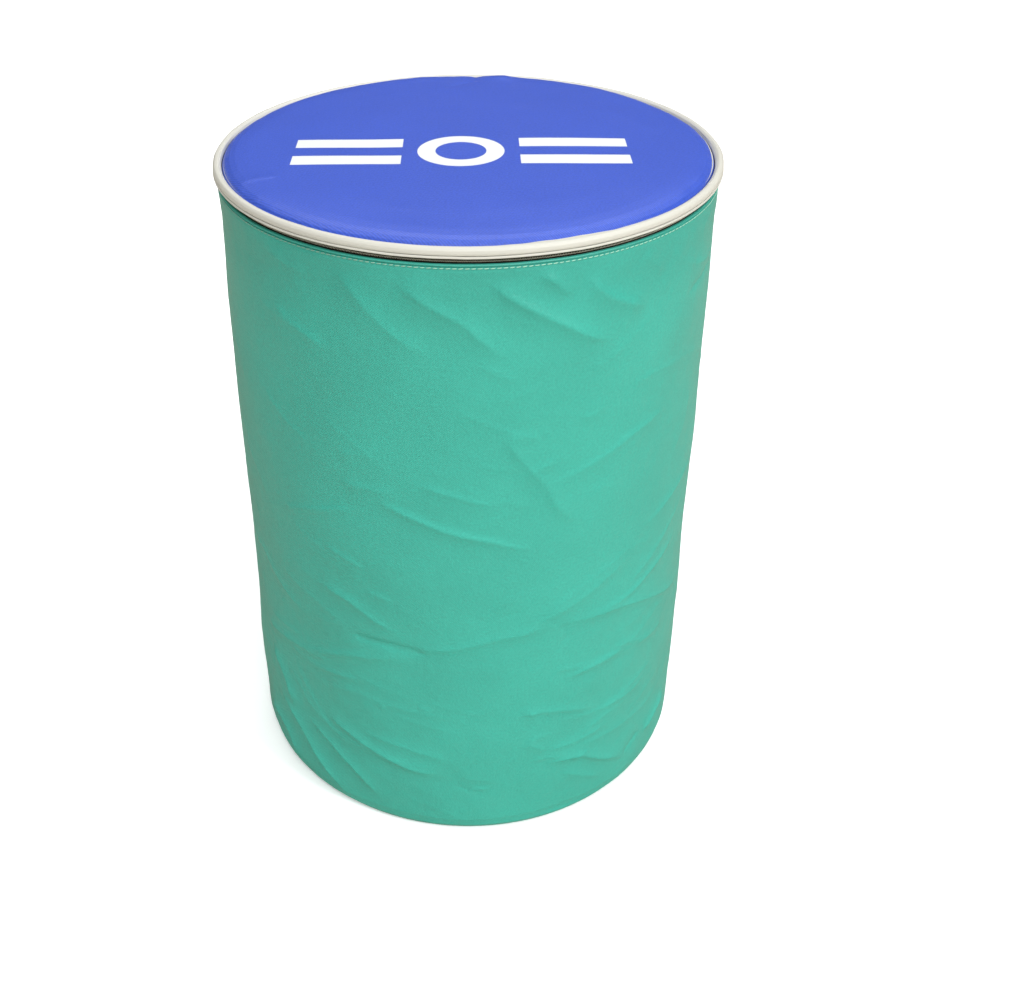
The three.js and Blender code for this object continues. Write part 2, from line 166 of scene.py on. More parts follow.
def lathe(name, profile, angles, shape=None, sharp=35):
    """Turns a closed profile about Z. shape(A, R, Z) may move the grid.
    Angles that span over 355 degrees are joined up; shorter arcs get end caps."""
    prof = np.asarray(profile, float)
    rows, cols = len(prof), len(angles)
    wrap = angles[-1] - angles[0] > 355
    A = np.repeat(np.asarray(angles, float)[:, None], rows, 1)
    R = np.repeat(prof[:, 0][None], cols, 0)
    Z = np.repeat(prof[:, 1][None], cols, 0)
    if shape is not None:
        R, Z = shape(A, R, Z)
    co = on_circle(R, np.radians(A), Z).reshape(-1, 3)
    idx = np.arange(cols * rows).reshape(cols, rows)
    j0 = np.arange(cols if wrap else cols - 1)
    i0 = np.arange(rows)
    J0, I0 = np.meshgrid(j0, i0, indexing="ij")
    J1, I1 = np.meshgrid((j0 + 1) % cols, (i0 + 1) % rows, indexing="ij")
    quads = np.stack([idx[J0, I0], idx[J1, I0], idx[J1, I1], idx[J0, I1]], -1).reshape(-1, 4)
    # UV in metres: u along the mean circle, v along the profile
    steps = np.diff(np.vstack([prof, prof[:1]]), axis=0)
    run = np.r_[0, np.cumsum(np.hypot(*steps.T))] * MM
    u = np.radians(np.r_[angles, angles[0] + 360.0]) * prof[:, 0].mean() * MM
    U0, V0 = np.meshgrid(u[j0], run[i0], indexing="ij")
    U1, V1 = np.meshgrid(u[j0 + 1], run[i0 + 1], indexing="ij")
    corners = ((U0, V0), (U1, V0), (U1, V1), (U0, V1))
    uv = np.stack([np.stack(c, -1) for c in corners], -2).reshape(-1, 2)
    caps, cap_uv = [], []
    if not wrap:
        caps = [idx[0][::-1], idx[-1]]
        cap_uv = [prof[::-1] * MM, prof * MM]
    o = mesh_object(name, co, quads, uv, caps, cap_uv, sharp=sharp)
    if wrap and max(prof[0, 0], prof[-1, 0]) < 0.05:
        close_axis(o)
    return outward(o)


def close_axis(o):
    """Draws each ring round the axis together to one point, so that a disc is whole."""
    bm = bmesh.new()
    bm.from_mesh(o.data)
    near = [v for v in bm.verts if math.hypot(v.co.x, v.co.y) < 0.05 * MM]
    for v in near:
        v.co.x = v.co.y = 0.0
    bmesh.ops.remove_doubles(bm, verts=near, dist=0.1 * MM)
    loose = [e for e in bm.edges if not e.link_faces]
    bmesh.ops.delete(bm, geom=loose, context="EDGES")
    bm.to_mesh(o.data)
    bm.free()


def vertex_places(me):
    co = np.zeros(len(me.vertices) * 3)
    me.vertices.foreach_get("co", co)
    return co.reshape(-1, 3)


def outward(o):
    """Turns the faces of a closed mesh outwards."""
    me = o.data
    co = vertex_places(me)
    me.calc_loop_triangles()
    t = np.zeros(len(me.loop_triangles) * 3, np.int32)
    me.loop_triangles.foreach_get("vertices", t)
    t = t.reshape(-1, 3)
    volume = np.einsum("ij,ij->i", co[t[:, 0]], np.cross(co[t[:, 1]], co[t[:, 2]])).sum()
    if volume < 0:
        me.flip_normals()
    return o


def plan_uv(o):
    """Gives a disc a plan UV, x and y in metres."""
    me = o.data
    corners = np.zeros(len(me.loops), np.int32)
    me.loops.foreach_get("vertex_index", corners)
    plan = vertex_places(me)[corners, :2].astype(np.float32)
    me.uv_layers["UVMap"].data.foreach_set("uv", plan.ravel())


def waves(count, shortest, longest, seed, stretch=1.0):
    """Smooth noise on (x, z) in mm that repeats round the drum: a sum of sine waves.
    stretch scales the change along z; 0 leaves none."""
    g = np.random.default_rng(seed)
    length = np.exp(g.uniform(math.log(shortest), math.log(longest), count))
    heading = g.uniform(0, 2 * math.pi, count)
    kx = np.round(np.cos(heading) / length * ROUND) / ROUND * 2 * math.pi
    kz = np.sin(heading) / length * 2 * math.pi * stretch
    phase = g.uniform(0, 2 * math.pi, count)
    height = (length / longest) ** 0.8
    height /= np.sqrt((height**2).sum() / 2)

    def field(x, z):
        out = np.zeros_like(x)
        for h, a, b, p in zip(height, kx, kz, phase):
            out += h * np.sin(a * x + b * z + p)
        return out

    return field


def edge_waves(count, shortest, longest, seed):
    """Noise that varies only round the drum, as a function of lathe angles."""
    field = waves(count, shortest, longest, seed, 0.0)
    return lambda A: field(np.radians(A) * WRAP_R, A * 0)


def spline(points, step=4.0):
    """Catmull-Rom through 2-D points, sampled about every step."""
    p = np.asarray(points, float)
    p = np.vstack([2 * p[0] - p[1], p, 2 * p[-1] - p[-2]])
    out = []
    for a, b, c, d in zip(p, p[1:], p[2:], p[3:]):
        k = max(2, int(np.linalg.norm(c - b) / step))
        for t in np.arange(k) / k:
            bend = (2 * a - 5 * b + 4 * c - d) * t * t + (3 * b - a - 3 * c + d) * t**3
            out.append(0.5 * (2 * b + (c - a) * t + bend))
    out.append(p[-2])
    return np.array(out)


def smooth_step(a, b, x):
    t = np.clip((x - a) / (b - a), 0, 1)
    return t * t * (3 - 2 * t)


def crease(X, Z, H, points, crest, up, down, groove=0.0, ends=(0.25, 0.3), blunt=1.2):
    """Adds one crease to the height field H, along points in mm. up and down are the widths of
    its flanks, ends the shares of its length that fade in and out, blunt rounds the crest;
    groove is the depth of a narrow valley just below the crest."""
    line = spline(points)
    along = np.gradient(line, axis=0)
    along /= np.linalg.norm(along, axis=1)[:, None] + 1e-9
    if along[:, 0].mean() < 0:
        line, along, ends = line[::-1], -along[::-1], ends[::-1]
    run = np.r_[0, np.cumsum(np.linalg.norm(np.diff(line, axis=0), axis=1))]
    reach = 4.5 * max(up, down)
    lo, hi = line.min(0) - reach, line.max(0) + reach
    near = (X > lo[0]) & (X < hi[0]) & (Z > lo[1]) & (Z < hi[1])
    if not near.any():
        return
    px, pz = X[near], Z[near]
    best = np.full(px.shape, 1e18)
    at = np.zeros(px.shape, int)
    for i, (x, z) in enumerate(line):
        d = (px - x) ** 2 + (pz - z) ** 2
        closer = d < best
        best[closer] = d[closer]
        at[closer] = i
    # distance across the crease, positive on its upper side, and distance past its ends
    across = (pz - line[at, 1]) * along[at, 0] - (px - line[at, 0]) * along[at, 1]
    beyond = np.sqrt(np.maximum(best - across**2, 0))
    t = run[at] / run[-1]
    fade = smooth_step(0, ends[0], t) * (1 - smooth_step(1 - ends[1], 1, t))
    fade *= np.exp(-((beyond / (2 * max(up, down))) ** 2))
    flank = np.where(across > 0, up, down)
    h = crest * np.exp(-(np.sqrt(across**2 + blunt**2) - blunt) / flank)
    if groove:
        h -= groove * np.exp(-(((across + 2.6) / 2.4) ** 2))
    H[near] += h * fade


# ------------------------------------------------------------------ materials
# Texture scales, bump heights and places in materials are metres or per metre.
def srgb(*rgb):
    parts = (c / 255 for c in rgb)
    linear = (c / 12.92 if c <= 0.04045 else ((c + 0.055) / 1.055) ** 2.4 for c in parts)
    return (*linear, 1.0)


class NodeGraph:
    """Short ways to add nodes. An input is given as a value or as a socket to link from."""

    def __init__(self, tree):
        self.tree = tree

    def feed(self, node, inputs):
        for key, value in inputs.items():
            if isinstance(value, bpy.types.NodeSocket):
                self.tree.links.new(value, node.inputs[key])
            else:
                node.inputs[key].default_value = value

    def add(self, kind, inputs=None, **properties):
        node = self.tree.nodes.new(kind)
        for key, value in properties.items():
            setattr(node, key, value)
        self.feed(node, inputs or {})
        return node

    def math(self, operation, *values):
        return self.add("ShaderNodeMath", dict(enumerate(values)), operation=operation).outputs[0]

    def map_range(self, source, lo, hi, to_lo=0.0, to_hi=1.0, kind="SMOOTHSTEP"):
        inputs = {"Value": source, "From Min": lo, "From Max": hi, "To Min": to_lo, "To Max": to_hi}
        return self.add("ShaderNodeMapRange", inputs, interpolation_type=kind).outputs[0]

    def separate(self, vector):
        return self.add("ShaderNodeSeparateXYZ", {0: vector}).outputs


class Finish(NodeGraph):
    """A material round one Principled shader."""

    def __init__(self, name):
        self.material = bpy.data.materials.new(name)
        self.material.use_nodes = True
        super().__init__(self.material.node_tree)
        self.shader = self.tree.nodes["Principled BSDF"]

    def surface(self, color, rough, **more):
        self.feed(self.shader, {"Base Color": color, "Roughness": rough, **more})

    def base_color(self):
        """The socket that now feeds the base colour."""
        return self.shader.inputs["Base Color"].links[0].from_socket

    def uv(self):
        return self.add("ShaderNodeUVMap", uv_map="UVMap").outputs[0]

    def object_place(self):
        return self.add("ShaderNodeTexCoord").outputs["Object"]

    def noise(self, vector, **settings):
        return self.add("ShaderNodeTexNoise", {"Vector": vector, **settings}).outputs["Fac"]

    def mix(self, share, a, b, blend="MIX"):
        inputs = {0: share, 6: a, 7: b}
        node = self.add("ShaderNodeMix", inputs, data_type="RGBA", blend_type=blend)
        return node.outputs[2]

    def bump(self, height, distance):
        node = self.add("ShaderNodeBump", {"Strength": 1.0, "Distance": distance, "Height": height})
        self.feed(self.shader, {"Normal": node.outputs[0]})


BAND_SCALE = 0.314  # wave texture scale for a weave period of 1 m


def skin(name, color, rough, period, twill=1.0, vary=0.04, bump=0.00006, painted_shade_factor=None, pebbled=0.0, tone=0.0):
    """Coated fabric: a fine diagonal weave with faint unevenness. period is the weave's in mm,
    twill and pebbled are shares of the relief, vary and tone the broad and fine colour changes,
    and an optional function of the finish gives a further factor on the colour, for painted shade."""
    f = Finish(name)
    uv = f.uv()
    wave_inputs = {"Scale": BAND_SCALE / (period * MM), "Distortion": 1.2, "Detail": 1.0, "Vector": uv}
    wave = f.add("ShaderNodeTexWave", wave_inputs, wave_type="BANDS", bands_direction="DIAGONAL")
    weave = wave.outputs["Fac"]
    grain = f.noise(uv, Scale=900.0, Detail=2.0)
    height = f.math("ADD", f.math("MULTIPLY", weave, twill), f.math("MULTIPLY", grain, 1.0))
    pebble = f.noise(uv, Scale=300.0, Detail=3.0, Roughness=0.65)
    f.bump(f.math("ADD", height, f.math("MULTIPLY", pebble, pebbled)), bump)
    broad = f.noise(uv, Scale=9.0, Detail=4.0)
    factor = f.math("ADD", f.math("MULTIPLY", broad, 2 * vary), 1 - vary)
    if tone:
        fine = f.math("ADD", f.math("MULTIPLY", weave, tone), f.math("MULTIPLY", pebble, 2.5 * tone))
        factor = f.math("MULTIPLY", factor, f.math("ADD", fine, 1 - 1.75 * tone))
    if painted_shade_factor is not None:
        factor = f.math("MULTIPLY", factor, painted_shade_factor(f))
    grey = f.add("ShaderNodeCombineColor", {i: factor for i in range(3)}).outputs[0]
    tinted = f.mix(1.0, color, grey, blend="MULTIPLY")
    f.surface(tinted, rough, **{"Coat Roughness": 0.3})
    return f


def plain(name, color, rough, scale, bump, metal=0.0, vary=0.05, spec=0.5):
    """One colour, with noise of the given scale in its tone (vary) and relief (bump)."""
    f = Finish(name)
    noise = f.noise(f.object_place(), Scale=scale, Detail=4.0)
    f.bump(noise, bump)
    dark = (*(c * (1 - vary) for c in color[:3]), 1)
    light = (*(min(1, c * (1 + vary)) for c in color[:3]), 1)
    more = {"Metallic": metal, "Specular IOR Level": spec}
    f.surface(f.mix(noise, dark, light), rough, **more)
    return f


def painted_hem_shadow(f):
    """Painted shadow: darkens the colour of the band drawn in under the hem, where shade falls below the lid.
    """
    z = f.separate(f.object_place())[2]
    return f.map_range(z, (SEAM - 130) * MM, (SEAM - 45) * MM, 1.0, 0.91)


def stitch_thread():
    """Pale thread, with painted shade that darkens it towards the left (-X)."""
    f = plain("stitch_thread", srgb(168, 216, 194), rough=0.6, scale=3000, bump=0.00004)
    x = f.separate(f.object_place())[0]
    # painted shade: a factor on the thread colour that falls towards the left
    tone = f.map_range(x, -0.22, 0.06, 0.62, 1.04)
    inputs = {0: f.base_color(), "Scale": tone}
    painted_left_shade = f.add("ShaderNodeVectorMath", operation="SCALE")
    f.feed(painted_left_shade, inputs)
    f.feed(f.shader, {"Base Color": painted_left_shade.outputs[0]})
    return f


def plywood():
    f = Finish("plywood")
    stretch = {"Vector": f.object_place(), "Scale": (2.0, 26.0, 60.0)}
    vector = f.add("ShaderNodeMapping", stretch).outputs[0]
    grain = f.noise(vector, Scale=3.0, Detail=6.0, Distortion=0.8)
    f.surface(f.mix(grain, srgb(178, 132, 82), srgb(222, 184, 132)), rough=0.7)
    f.bump(grain, 0.0002)
    return f


def antislip():
    """Black sheet with small raised dots."""
    f = Finish("base_vinyl")
    cells = f.add("ShaderNodeTexVoronoi", {"Scale": 150.0, "Randomness": 0.0, "Vector": f.uv()})
    f.bump(f.map_range(cells.outputs["Distance"], 0.28, 0.16, kind="LINEAR"), 0.0006)
    f.surface(srgb(34, 36, 40), rough=0.75)
    return f


# Mark on the round top, in metres: its centre lies left of the axis and towards the front.
MARK_LEFT, MARK_FRONT = 0.008, 0.041
MARK_RING = (0.044, 0.0115)  # mean radius, half width
MARK_BAR_X = (0.144, 0.069)  # distance of the bars' middles from the centre, half length
MARK_BAR_Y = (0.031, 0.0155)  # the same across the bars


def printed_top():
    """Blue vinyl with a plain white centre mark: a ring between pairs of bars."""
    f = skin("blue_vinyl_printed", BLUE, rough=0.36, vary=0.08, period=1.9, bump=0.0001, pebbled=4.0, tone=0.26)

    def within(distance, middle, half):
        return f.math("LESS_THAN", f.math("ABSOLUTE", f.math("SUBTRACT", distance, middle)), half)

    place = f.separate(f.uv())
    x = f.math("ADD", place[0], MARK_LEFT)
    y = f.math("ADD", place[1], MARK_FRONT)
    away_x, away_y = f.math("ABSOLUTE", x), f.math("ABSOLUTE", y)
    radius = f.math("SQRT", f.math("ADD", f.math("MULTIPLY", x, x), f.math("MULTIPLY", y, y)))
    circle = within(radius, *MARK_RING)
    bars = f.math("MULTIPLY", within(away_x, *MARK_BAR_X), within(away_y, *MARK_BAR_Y))
    mark = f.math("MAXIMUM", circle, bars)
    marked = f.mix(mark, f.base_color(), srgb(236, 240, 238))
    f.feed(f.shader, {"Base Color": marked})
    return f


BLUE = srgb(57, 88, 196)
FINISH = {}  # finish of each material slot
# the green vinyl carries painted shade, darker in the band under the hem
FINISH["green_vinyl"] = skin(
    "green_vinyl", srgb(59, 177, 159), rough=0.38, vary=0.08, period=1.5, bump=0.00009,
    painted_shade_factor=painted_hem_shadow, pebbled=6.0, tone=0.16,
)
FINISH["blue_vinyl"] = skin("blue_vinyl", BLUE, rough=0.4, vary=0.03, period=1.2)
FINISH["white_vinyl"] = skin("white_vinyl", srgb(210, 209, 199), rough=0.42, vary=0.02, period=1.2)
vinyl_back = skin("vinyl_back", srgb(205, 203, 190), rough=0.85, twill=2.0, period=1.6, bump=0.00012, vary=0.05)
thread = stitch_thread()
FINISH["tape"] = skin("zip_tape", srgb(38, 30, 20), rough=0.9, twill=2.5, period=0.8, bump=0.00012)
FINISH["coil"] = plain("zip_coil", srgb(206, 200, 182), rough=0.35, scale=500, bump=0.00001)
# the same coil painted darker: painted shade for the upper row under the white lip
coil_painted_shade = plain("zip_coil_painted_shade", srgb(96, 86, 66), rough=0.4, scale=500, bump=0.00001)
FINISH["slider_metal"] = plain(
    "slider_metal", srgb(150, 146, 138), rough=0.32, metal=1.0, scale=400, bump=0.00001, vary=0.1
)
FINISH["foam"] = plain("foam", srgb(216, 204, 170), rough=0.95, scale=420, bump=0.0016, vary=0.16, spec=0.1)
FINISH["cord"] = plain("cord", srgb(215, 210, 195), rough=0.8, scale=900, bump=0.0003)
FINISH["drum_paint"] = plain("drum_paint", srgb(38, 66, 112), rough=0.35, scale=60, bump=0.00003, vary=0.08)
FINISH["zinc_steel"] = plain(
    "zinc_steel", srgb(176, 178, 176), rough=0.38, metal=1.0, scale=120, bump=0.00003, vary=0.1
)
FINISH["rubber"] = plain("rubber", srgb(30, 30, 32), rough=0.8, scale=500, bump=0.00008)
FINISH["plywood"] = plywood()
FINISH["base_vinyl"] = antislip()
top_print = printed_top()


def paint(o, *finishes):
    o.data.materials.clear()
    for f in finishes:
        o.data.materials.append(f.material)
    return o


def keep(o, body, slot, *nodes):
    """Fixes a piece to its body, in place of CAD nodes. An unpainted one gets its slot's finish."""
    if not o.data.materials:
        paint(o, FINISH[slot])
    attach(o, body)
    if nodes:
        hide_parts(*nodes)


# ------------------------------------------------------------------ green sleeve
# Creases: points (angle, height), crest height, flank widths up and down, and for some the
# depth of the groove below the crest.
FRONT = [
    # soft lobes hanging from the hem
    ([(-28, 884), (-24, 862), (-19, 832), (-13, 805), (-6, 782)], 2.2, 24, 34),
    ([(-15, 880), (-7, 851), (-1, 831), (3, 809), (9, 780)], 2.9, 20, 22),
    ([(3, 886), (8, 864), (14, 842), (20, 821), (27, 797), (33, 783)], 3.9, 20, 18),
    ([(24, 880), (28, 853), (33, 835), (41, 812)], 3.2, 13, 22),
    ([(14, 892), (18.5, 870), (21, 852)], 1.9, 16, 8),
    ([(-47, 812), (-38, 792), (-29, 771)], 1.1, 15, 30),
    ([(-46, 880), (-40, 870), (-34, 864)], 0.7, 9, 12),
    ([(39, 888), (42, 866), (46, 852)], 0.9, 10, 12),
    ([(48, 874), (54, 846), (60, 832)], 1.0, 10, 16),
    # broad plane change right of centre
    ([(5, 692), (8, 676), (11.5, 645), (14.5, 622), (17, 604), (19.5, 573), (23, 548), (28, 530)],
     1.9, 20, 12),
    ([(8, 676), (12, 677), (16, 675)], 0.8, 7, 10),
    ([(16.8, 603), (22, 609), (30, 624), (38, 640), (45, 648), (53, 655)], 1.2, 6, 13),
    ([(15, 628), (18, 632), (20, 634)], 0.7, 6, 8),
    ([(24, 689), (28, 692), (31.5, 702)], 0.6, 7, 12),
    ([(38, 715), (42, 716), (46, 718)], 0.5, 4, 8),
    ([(29, 574), (31, 578), (33, 583)], 0.5, 5, 8),
    ([(2, 780), (6, 766), (11, 752)], 0.8, 12, 10),
    # long creases across the middle
    ([(-29, 590), (-22, 591), (-15, 590)], 1.0, 7, 18),
    ([(-22, 579), (-15, 566), (-10, 556), (-5, 545), (0, 537), (6, 527), (9.5, 518), (17, 503)],
     1.9, 5, 12),
    ([(-12, 611), (-5, 600), (0, 592), (5, 584), (9, 582)], 1.1, 5, 10),
    ([(-50, 506), (-45, 514), (-40, 526), (-35, 535), (-30, 546), (-22, 556)], 1.0, 6, 14),
    ([(-35, 480), (-29, 473), (-23, 461)], 0.9, 4, 10),
    ([(-30, 636), (-24, 638), (-18, 651)], 0.6, 10, 16),
    ([(-39, 411), (-33, 407), (-28, 400), (-22, 382), (-15, 362)], 1.5, 6, 13),
    ([(-24, 428), (-17, 419)], 0.7, 4, 8),
    ([(-2, 400), (6, 401), (15, 411)], -0.7, 10, 10),
    ([(-29, 341), (-24, 342.5), (-17, 341.5), (-8, 336)], -2.9, 4, 7),
    ([(-14, 343), (-8, 347), (-4, 350), (0, 356), (5, 364), (10, 370), (15, 373.5), (21, 377)],
     1.6, 13, 10),
    ([(21, 376), (27, 372.5), (33, 368.5), (38, 365), (45, 354), (50, 343), (60, 320), (70, 303),
      (78, 296)], 2.0, 11, 8, 0.5),
    ([(31, 375), (39, 374.5), (45, 381), (50, 391), (57, 401), (65, 409)], 1.3, 6, 6),
    ([(16, 388), (20, 393), (25, 404), (30, 415), (35, 428), (41, 440)], 1.1, 13, 11),
    ([(46, 477), (55, 492), (65, 506), (75, 513)], 1.0, 6, 16),
    ([(-77, 364), (-70, 373), (-64, 375), (-58, 364), (-50, 346), (-40, 331)], 1.3, 11, 13),
    ([(-59, 301), (-52, 329)], 0.6, 4, 6),
    ([(-62, 273), (-53, 281), (-45, 287)], 0.8, 5, 5),
    ([(-67, 247), (-60, 253), (-52, 261), (-45, 268), (-39, 271), (-33, 270)], 1.7, 12, 9),
    ([(-45, 272), (-38, 283), (-30, 302), (-23, 312), (-13, 330)], 1.5, 11, 12),
    ([(-46, 242), (-38, 252), (-32, 258), (-25, 265)], 0.9, 8, 8),
    ([(-37, 226), (-32, 232), (-28, 241)], 0.7, 7, 10),
    ([(-12, 240), (-8, 236)], 0.5, 5, 6),
    ([(-22, 222), (-20, 232)], 0.5, 4, 4),
    # fan of deep folds at the lower left
    ([(-62, 216), (-58, 198), (-54.8, 180), (-52.2, 156), (-50.4, 128)], 3.0, 16, 7),
    ([(-60, 128), (-54, 127), (-49, 114), (-44.6, 89), (-40, 62), (-35.5, 38), (-32, 8)],
     4.6, 20, 6, 0.8),
    ([(-68, 66), (-61, 78), (-55.5, 68), (-52, 46), (-49, 14)], 3.8, 15, 10),
    ([(-46, 138), (-38.5, 119), (-34, 103), (-29, 83), (-25, 58), (-22, 36)], 2.4, 13, 7),
    ([(-40, 168), (-35, 161), (-30, 153), (-25, 142), (-20, 133), (-14, 121), (-4, 113)],
     2.4, 13, 7, 0.3),
    ([(-28, 168), (-18, 162), (-11, 155), (-3, 145)], 1.1, 9, 9),
    ([(0.3, 85), (3, 88), (5.6, 89.5)], 1.0, 3.5, 3.5),
    ([(-3, 96), (0, 88), (4, 84)], -0.6, 5, 5),
    # short creases, most of them at the lower right
    ([(19.5, 147), (24, 147.5), (28, 147.5), (39, 153)], 1.1, 4.5, 9),
    ([(14, 172), (17, 176), (21, 178)], 0.5, 5, 6),
    ([(14, 172), (17, 158), (20, 146)], 0.8, 9, 7),
    ([(19, 118), (25, 119), (29.5, 114), (33, 101), (36.5, 86), (41, 71), (46, 50)],
     3.0, 15, 6, 0.6),
    ([(24, 94), (28.5, 77), (33.5, 59), (37, 42)], 1.3, 9, 11),
    ([(27, 115), (30, 117), (33, 118.5)], 0.7, 4, 4),
    ([(16, 133), (21, 131), (25, 127)], 0.7, 7, 6),
    ([(10, 223), (16, 225), (21, 221), (28, 209), (35, 195)], 1.1, 8, 6),
    ([(13, 238), (15, 228), (17, 214)], 0.7, 9, 9),
    ([(34, 183), (40, 186.5), (46, 185), (54, 191)], 1.1, 6, 5),
    ([(23, 274), (30, 279.5), (36, 282), (44, 280)], 1.3, 5, 5),
    ([(20, 296), (28, 288), (33, 286)], 0.6, 7, 5),
    ([(36, 292), (43, 287), (50, 271), (61, 261)], 1.1, 10, 6),
    ([(45, 60), (48.5, 68), (52, 80)], -1.2, 5, 5),
    ([(54, 62), (62, 80), (69, 88)], 2.8, 10, 11),
    ([(55, 799), (64, 803), (74, 806)], -1.5, 8, 8),
    ([(57, 836), (66, 826), (75, 824)], 1.2, 8, 8),
    ([(22, 375), (24, 352), (21, 334)], -0.7, 9, 9),
    # long faint arcs
    ([(-68, 248), (-49, 262), (-34, 293), (-13, 341)], 0.5, 5, 10),
    ([(-63, 246), (-40, 252), (-24, 266)], 0.5, 5, 10),
    ([(-58, 234), (-50, 196), (-43, 160), (-30, 137), (-12, 130), (-3, 132)], 0.7, 6, 10),
    ([(-51, 245), (-46, 196), (-37, 146), (-25, 120)], 0.6, 5, 10),
    ([(-34, 247), (-22, 235), (0, 225)], 0.5, 5, 10),
    ([(-53, 684), (-44, 650), (-35, 629)], 0.5, 5, 12),
    ([(-66, 453), (-55, 486), (-44, 515), (-24, 560)], 0.5, 5, 12),
    ([(-46, 490), (-33, 467), (-22, 452)], 0.5, 5, 12),
    ([(-37, 421), (-26, 402), (-17, 383)], 0.4, 5, 10),
    ([(-54, 392), (-40, 376), (-28, 350)], 0.5, 5, 10),
    ([(-52, 806), (-40, 792), (-29, 777)], 0.5, 6, 12),
    ([(39, 719), (50, 714), (62, 702), (74, 676)], 0.5, 6, 12),
    ([(16, 388), (26, 424), (36, 446), (45, 466)], 0.5, 6, 12),
    ([(38, 380), (49, 414), (59, 447), (70, 476)], 0.7, 6, 12),
    ([(24, 281), (34, 278), (47, 271), (61, 253)], 0.5, 5, 10),
    ([(21, 200), (35, 188), (46, 198), (60, 214)], 0.6, 5, 10),
    ([(20, 146), (30, 158), (39, 172), (56, 184)], 0.5, 5, 10),
    ([(25, 136), (40, 130), (56, 124), (67, 136)], 0.6, 5, 10),
    ([(-68, 560), (-60, 520), (-56, 480)], 0.8, 22, 22),
    ([(-74, 470), (-66, 500), (-60, 520)], 0.8, 18, 18),
    ([(56, 560), (62, 600), (64, 660)], 0.8, 24, 24),
]


# Scattered creases: length in degrees, slope in mm per degree, bend the rise of the middle.
def three_points(angle, z, length, slope, bend):
    half = length / 2
    return [(angle - half, z - slope * half), (angle, z + bend), (angle + half, z + slope * half)]


def faint_crease(g, points, crest):
    return points, g.uniform(*crest), g.uniform(3, 8), g.uniform(5, 15)


def rear_folds():
    """Strong creases round the back, most of them low."""
    g = np.random.default_rng(21)
    out = []
    for _ in range(44):
        angle = g.uniform(98, 248)
        z = g.choice([g.uniform(60, 330), g.uniform(300, 700)], p=[0.7, 0.3])
        length = g.uniform(9, 26)
        rise = g.uniform(-1.1, 1.1) * 3.2 * length
        middle = (angle + length * 0.5, z + rise * 0.5 + g.uniform(-9, 9))
        points = [(angle, z), middle, (angle + length, z + rise)]
        crest = g.uniform(1.0, 3.4) * g.choice([1, 1, -0.7])
        out.append((points, crest, g.uniform(6, 18), g.uniform(6, 18), g.choice([0, 0, 0.5])))
    return out


def rear_faint():
    g = np.random.default_rng(57)
    out = []
    for _ in range(90):
        angle, z, length = g.uniform(98, 262), g.uniform(30, 870), g.uniform(7, 20)
        slope = g.choice([-1, 1]) * g.uniform(0.1, 1.3) * 3.0
        points = three_points(angle, z, length, slope, g.uniform(-5, 5))
        out.append(faint_crease(g, points, (0.2, 0.7)))
    return out


def front_faint():
    """Three in four fall away from the middle, or to the right where they are high up."""
    g = np.random.default_rng(33)
    out = []
    for i in range(80):
        angle = g.uniform(-80, 80)
        z = g.uniform(30, 880) if i % 3 else g.uniform(30, 340)
        lean = -1 if angle < 4 or z > 640 else 1
        length = g.uniform(7, 22)
        slope = lean * g.uniform(0.1, 1.3) * 3.0
        bend = g.uniform(-5, 5)
        if g.uniform() < 0.25:
            slope = -slope
        points = three_points(angle, z, length, slope, bend)
        out.append(faint_crease(g, points, (0.12, 0.4)))
    return out


# Creases, factors on crest and upper flank, and turns at which they are laid: angles past
# 180 are laid a second time one turn back.
CREASES = [
    (FRONT + front_faint(), 1.9, 0.78, (0,)),
    (rear_folds() + rear_faint(), 1.5, 0.8, (0, -360)),
]
soft = waves(34, 90, 520, 3, 0.8)
middling = waves(40, 30, 90, 5, 0.8)
hem_waves = waves(24, 16, 60, 9, 0.05)
tiny = waves(60, 11, 30, 77, 0.8)

# Outer face from the hem down to the turned-in foot, then the inner face back up.
SLEEVE_OUT = from_seam([
    (321.3, -27.0, 0), (321.3, -21.4, 0.9), (322.8, -20.6, 0.7), (325.2, -20.7, 0.9),
    (326.2, -21.9, 0.7), (325.6, -23.0, 0.5), (323.9, -23.6, 0.5), (323.9, -24.5, 0.5),
    (325.3, -25.3, 0.5), (325.3, -26.4, 0.4), (324.8, -27.6, 0.5), (325.2, -31.0, 2),
    (324.0, -66.0, 30), (326.1, -150.0, 40),
]) + [
    (326.8, 600, 0), (327.6, 300, 0), (328.4, 90, 0), (328.1, 25, 6), (325.8, 11, 4),
    (320.4, 2.4, 4), (313.9, 0.05, 0), (300.2, 0.05, 0),
]
SLEEVE_IN = [
    (300.2, 1.3), (313.9, 1.3), (319.6, 3.5), (323.6, 11.8), (324.2, 25.5), (324.0, 90),
    (323.3, 300), (322.7, 600), (322.2, SEAM - 36), (321.2, SEAM - 30),
]
sleeve_face = dense(fillet(SLEEVE_OUT, 0.0, 4, closed=False), 2.6, closed=False)
# finer over the front half
spans = ((-180, -92, 0.9), (-92, 92, 0.42), (92.2, 180, 0.9))
sleeve_angles = np.concatenate([np.arange(*span) for span in spans])


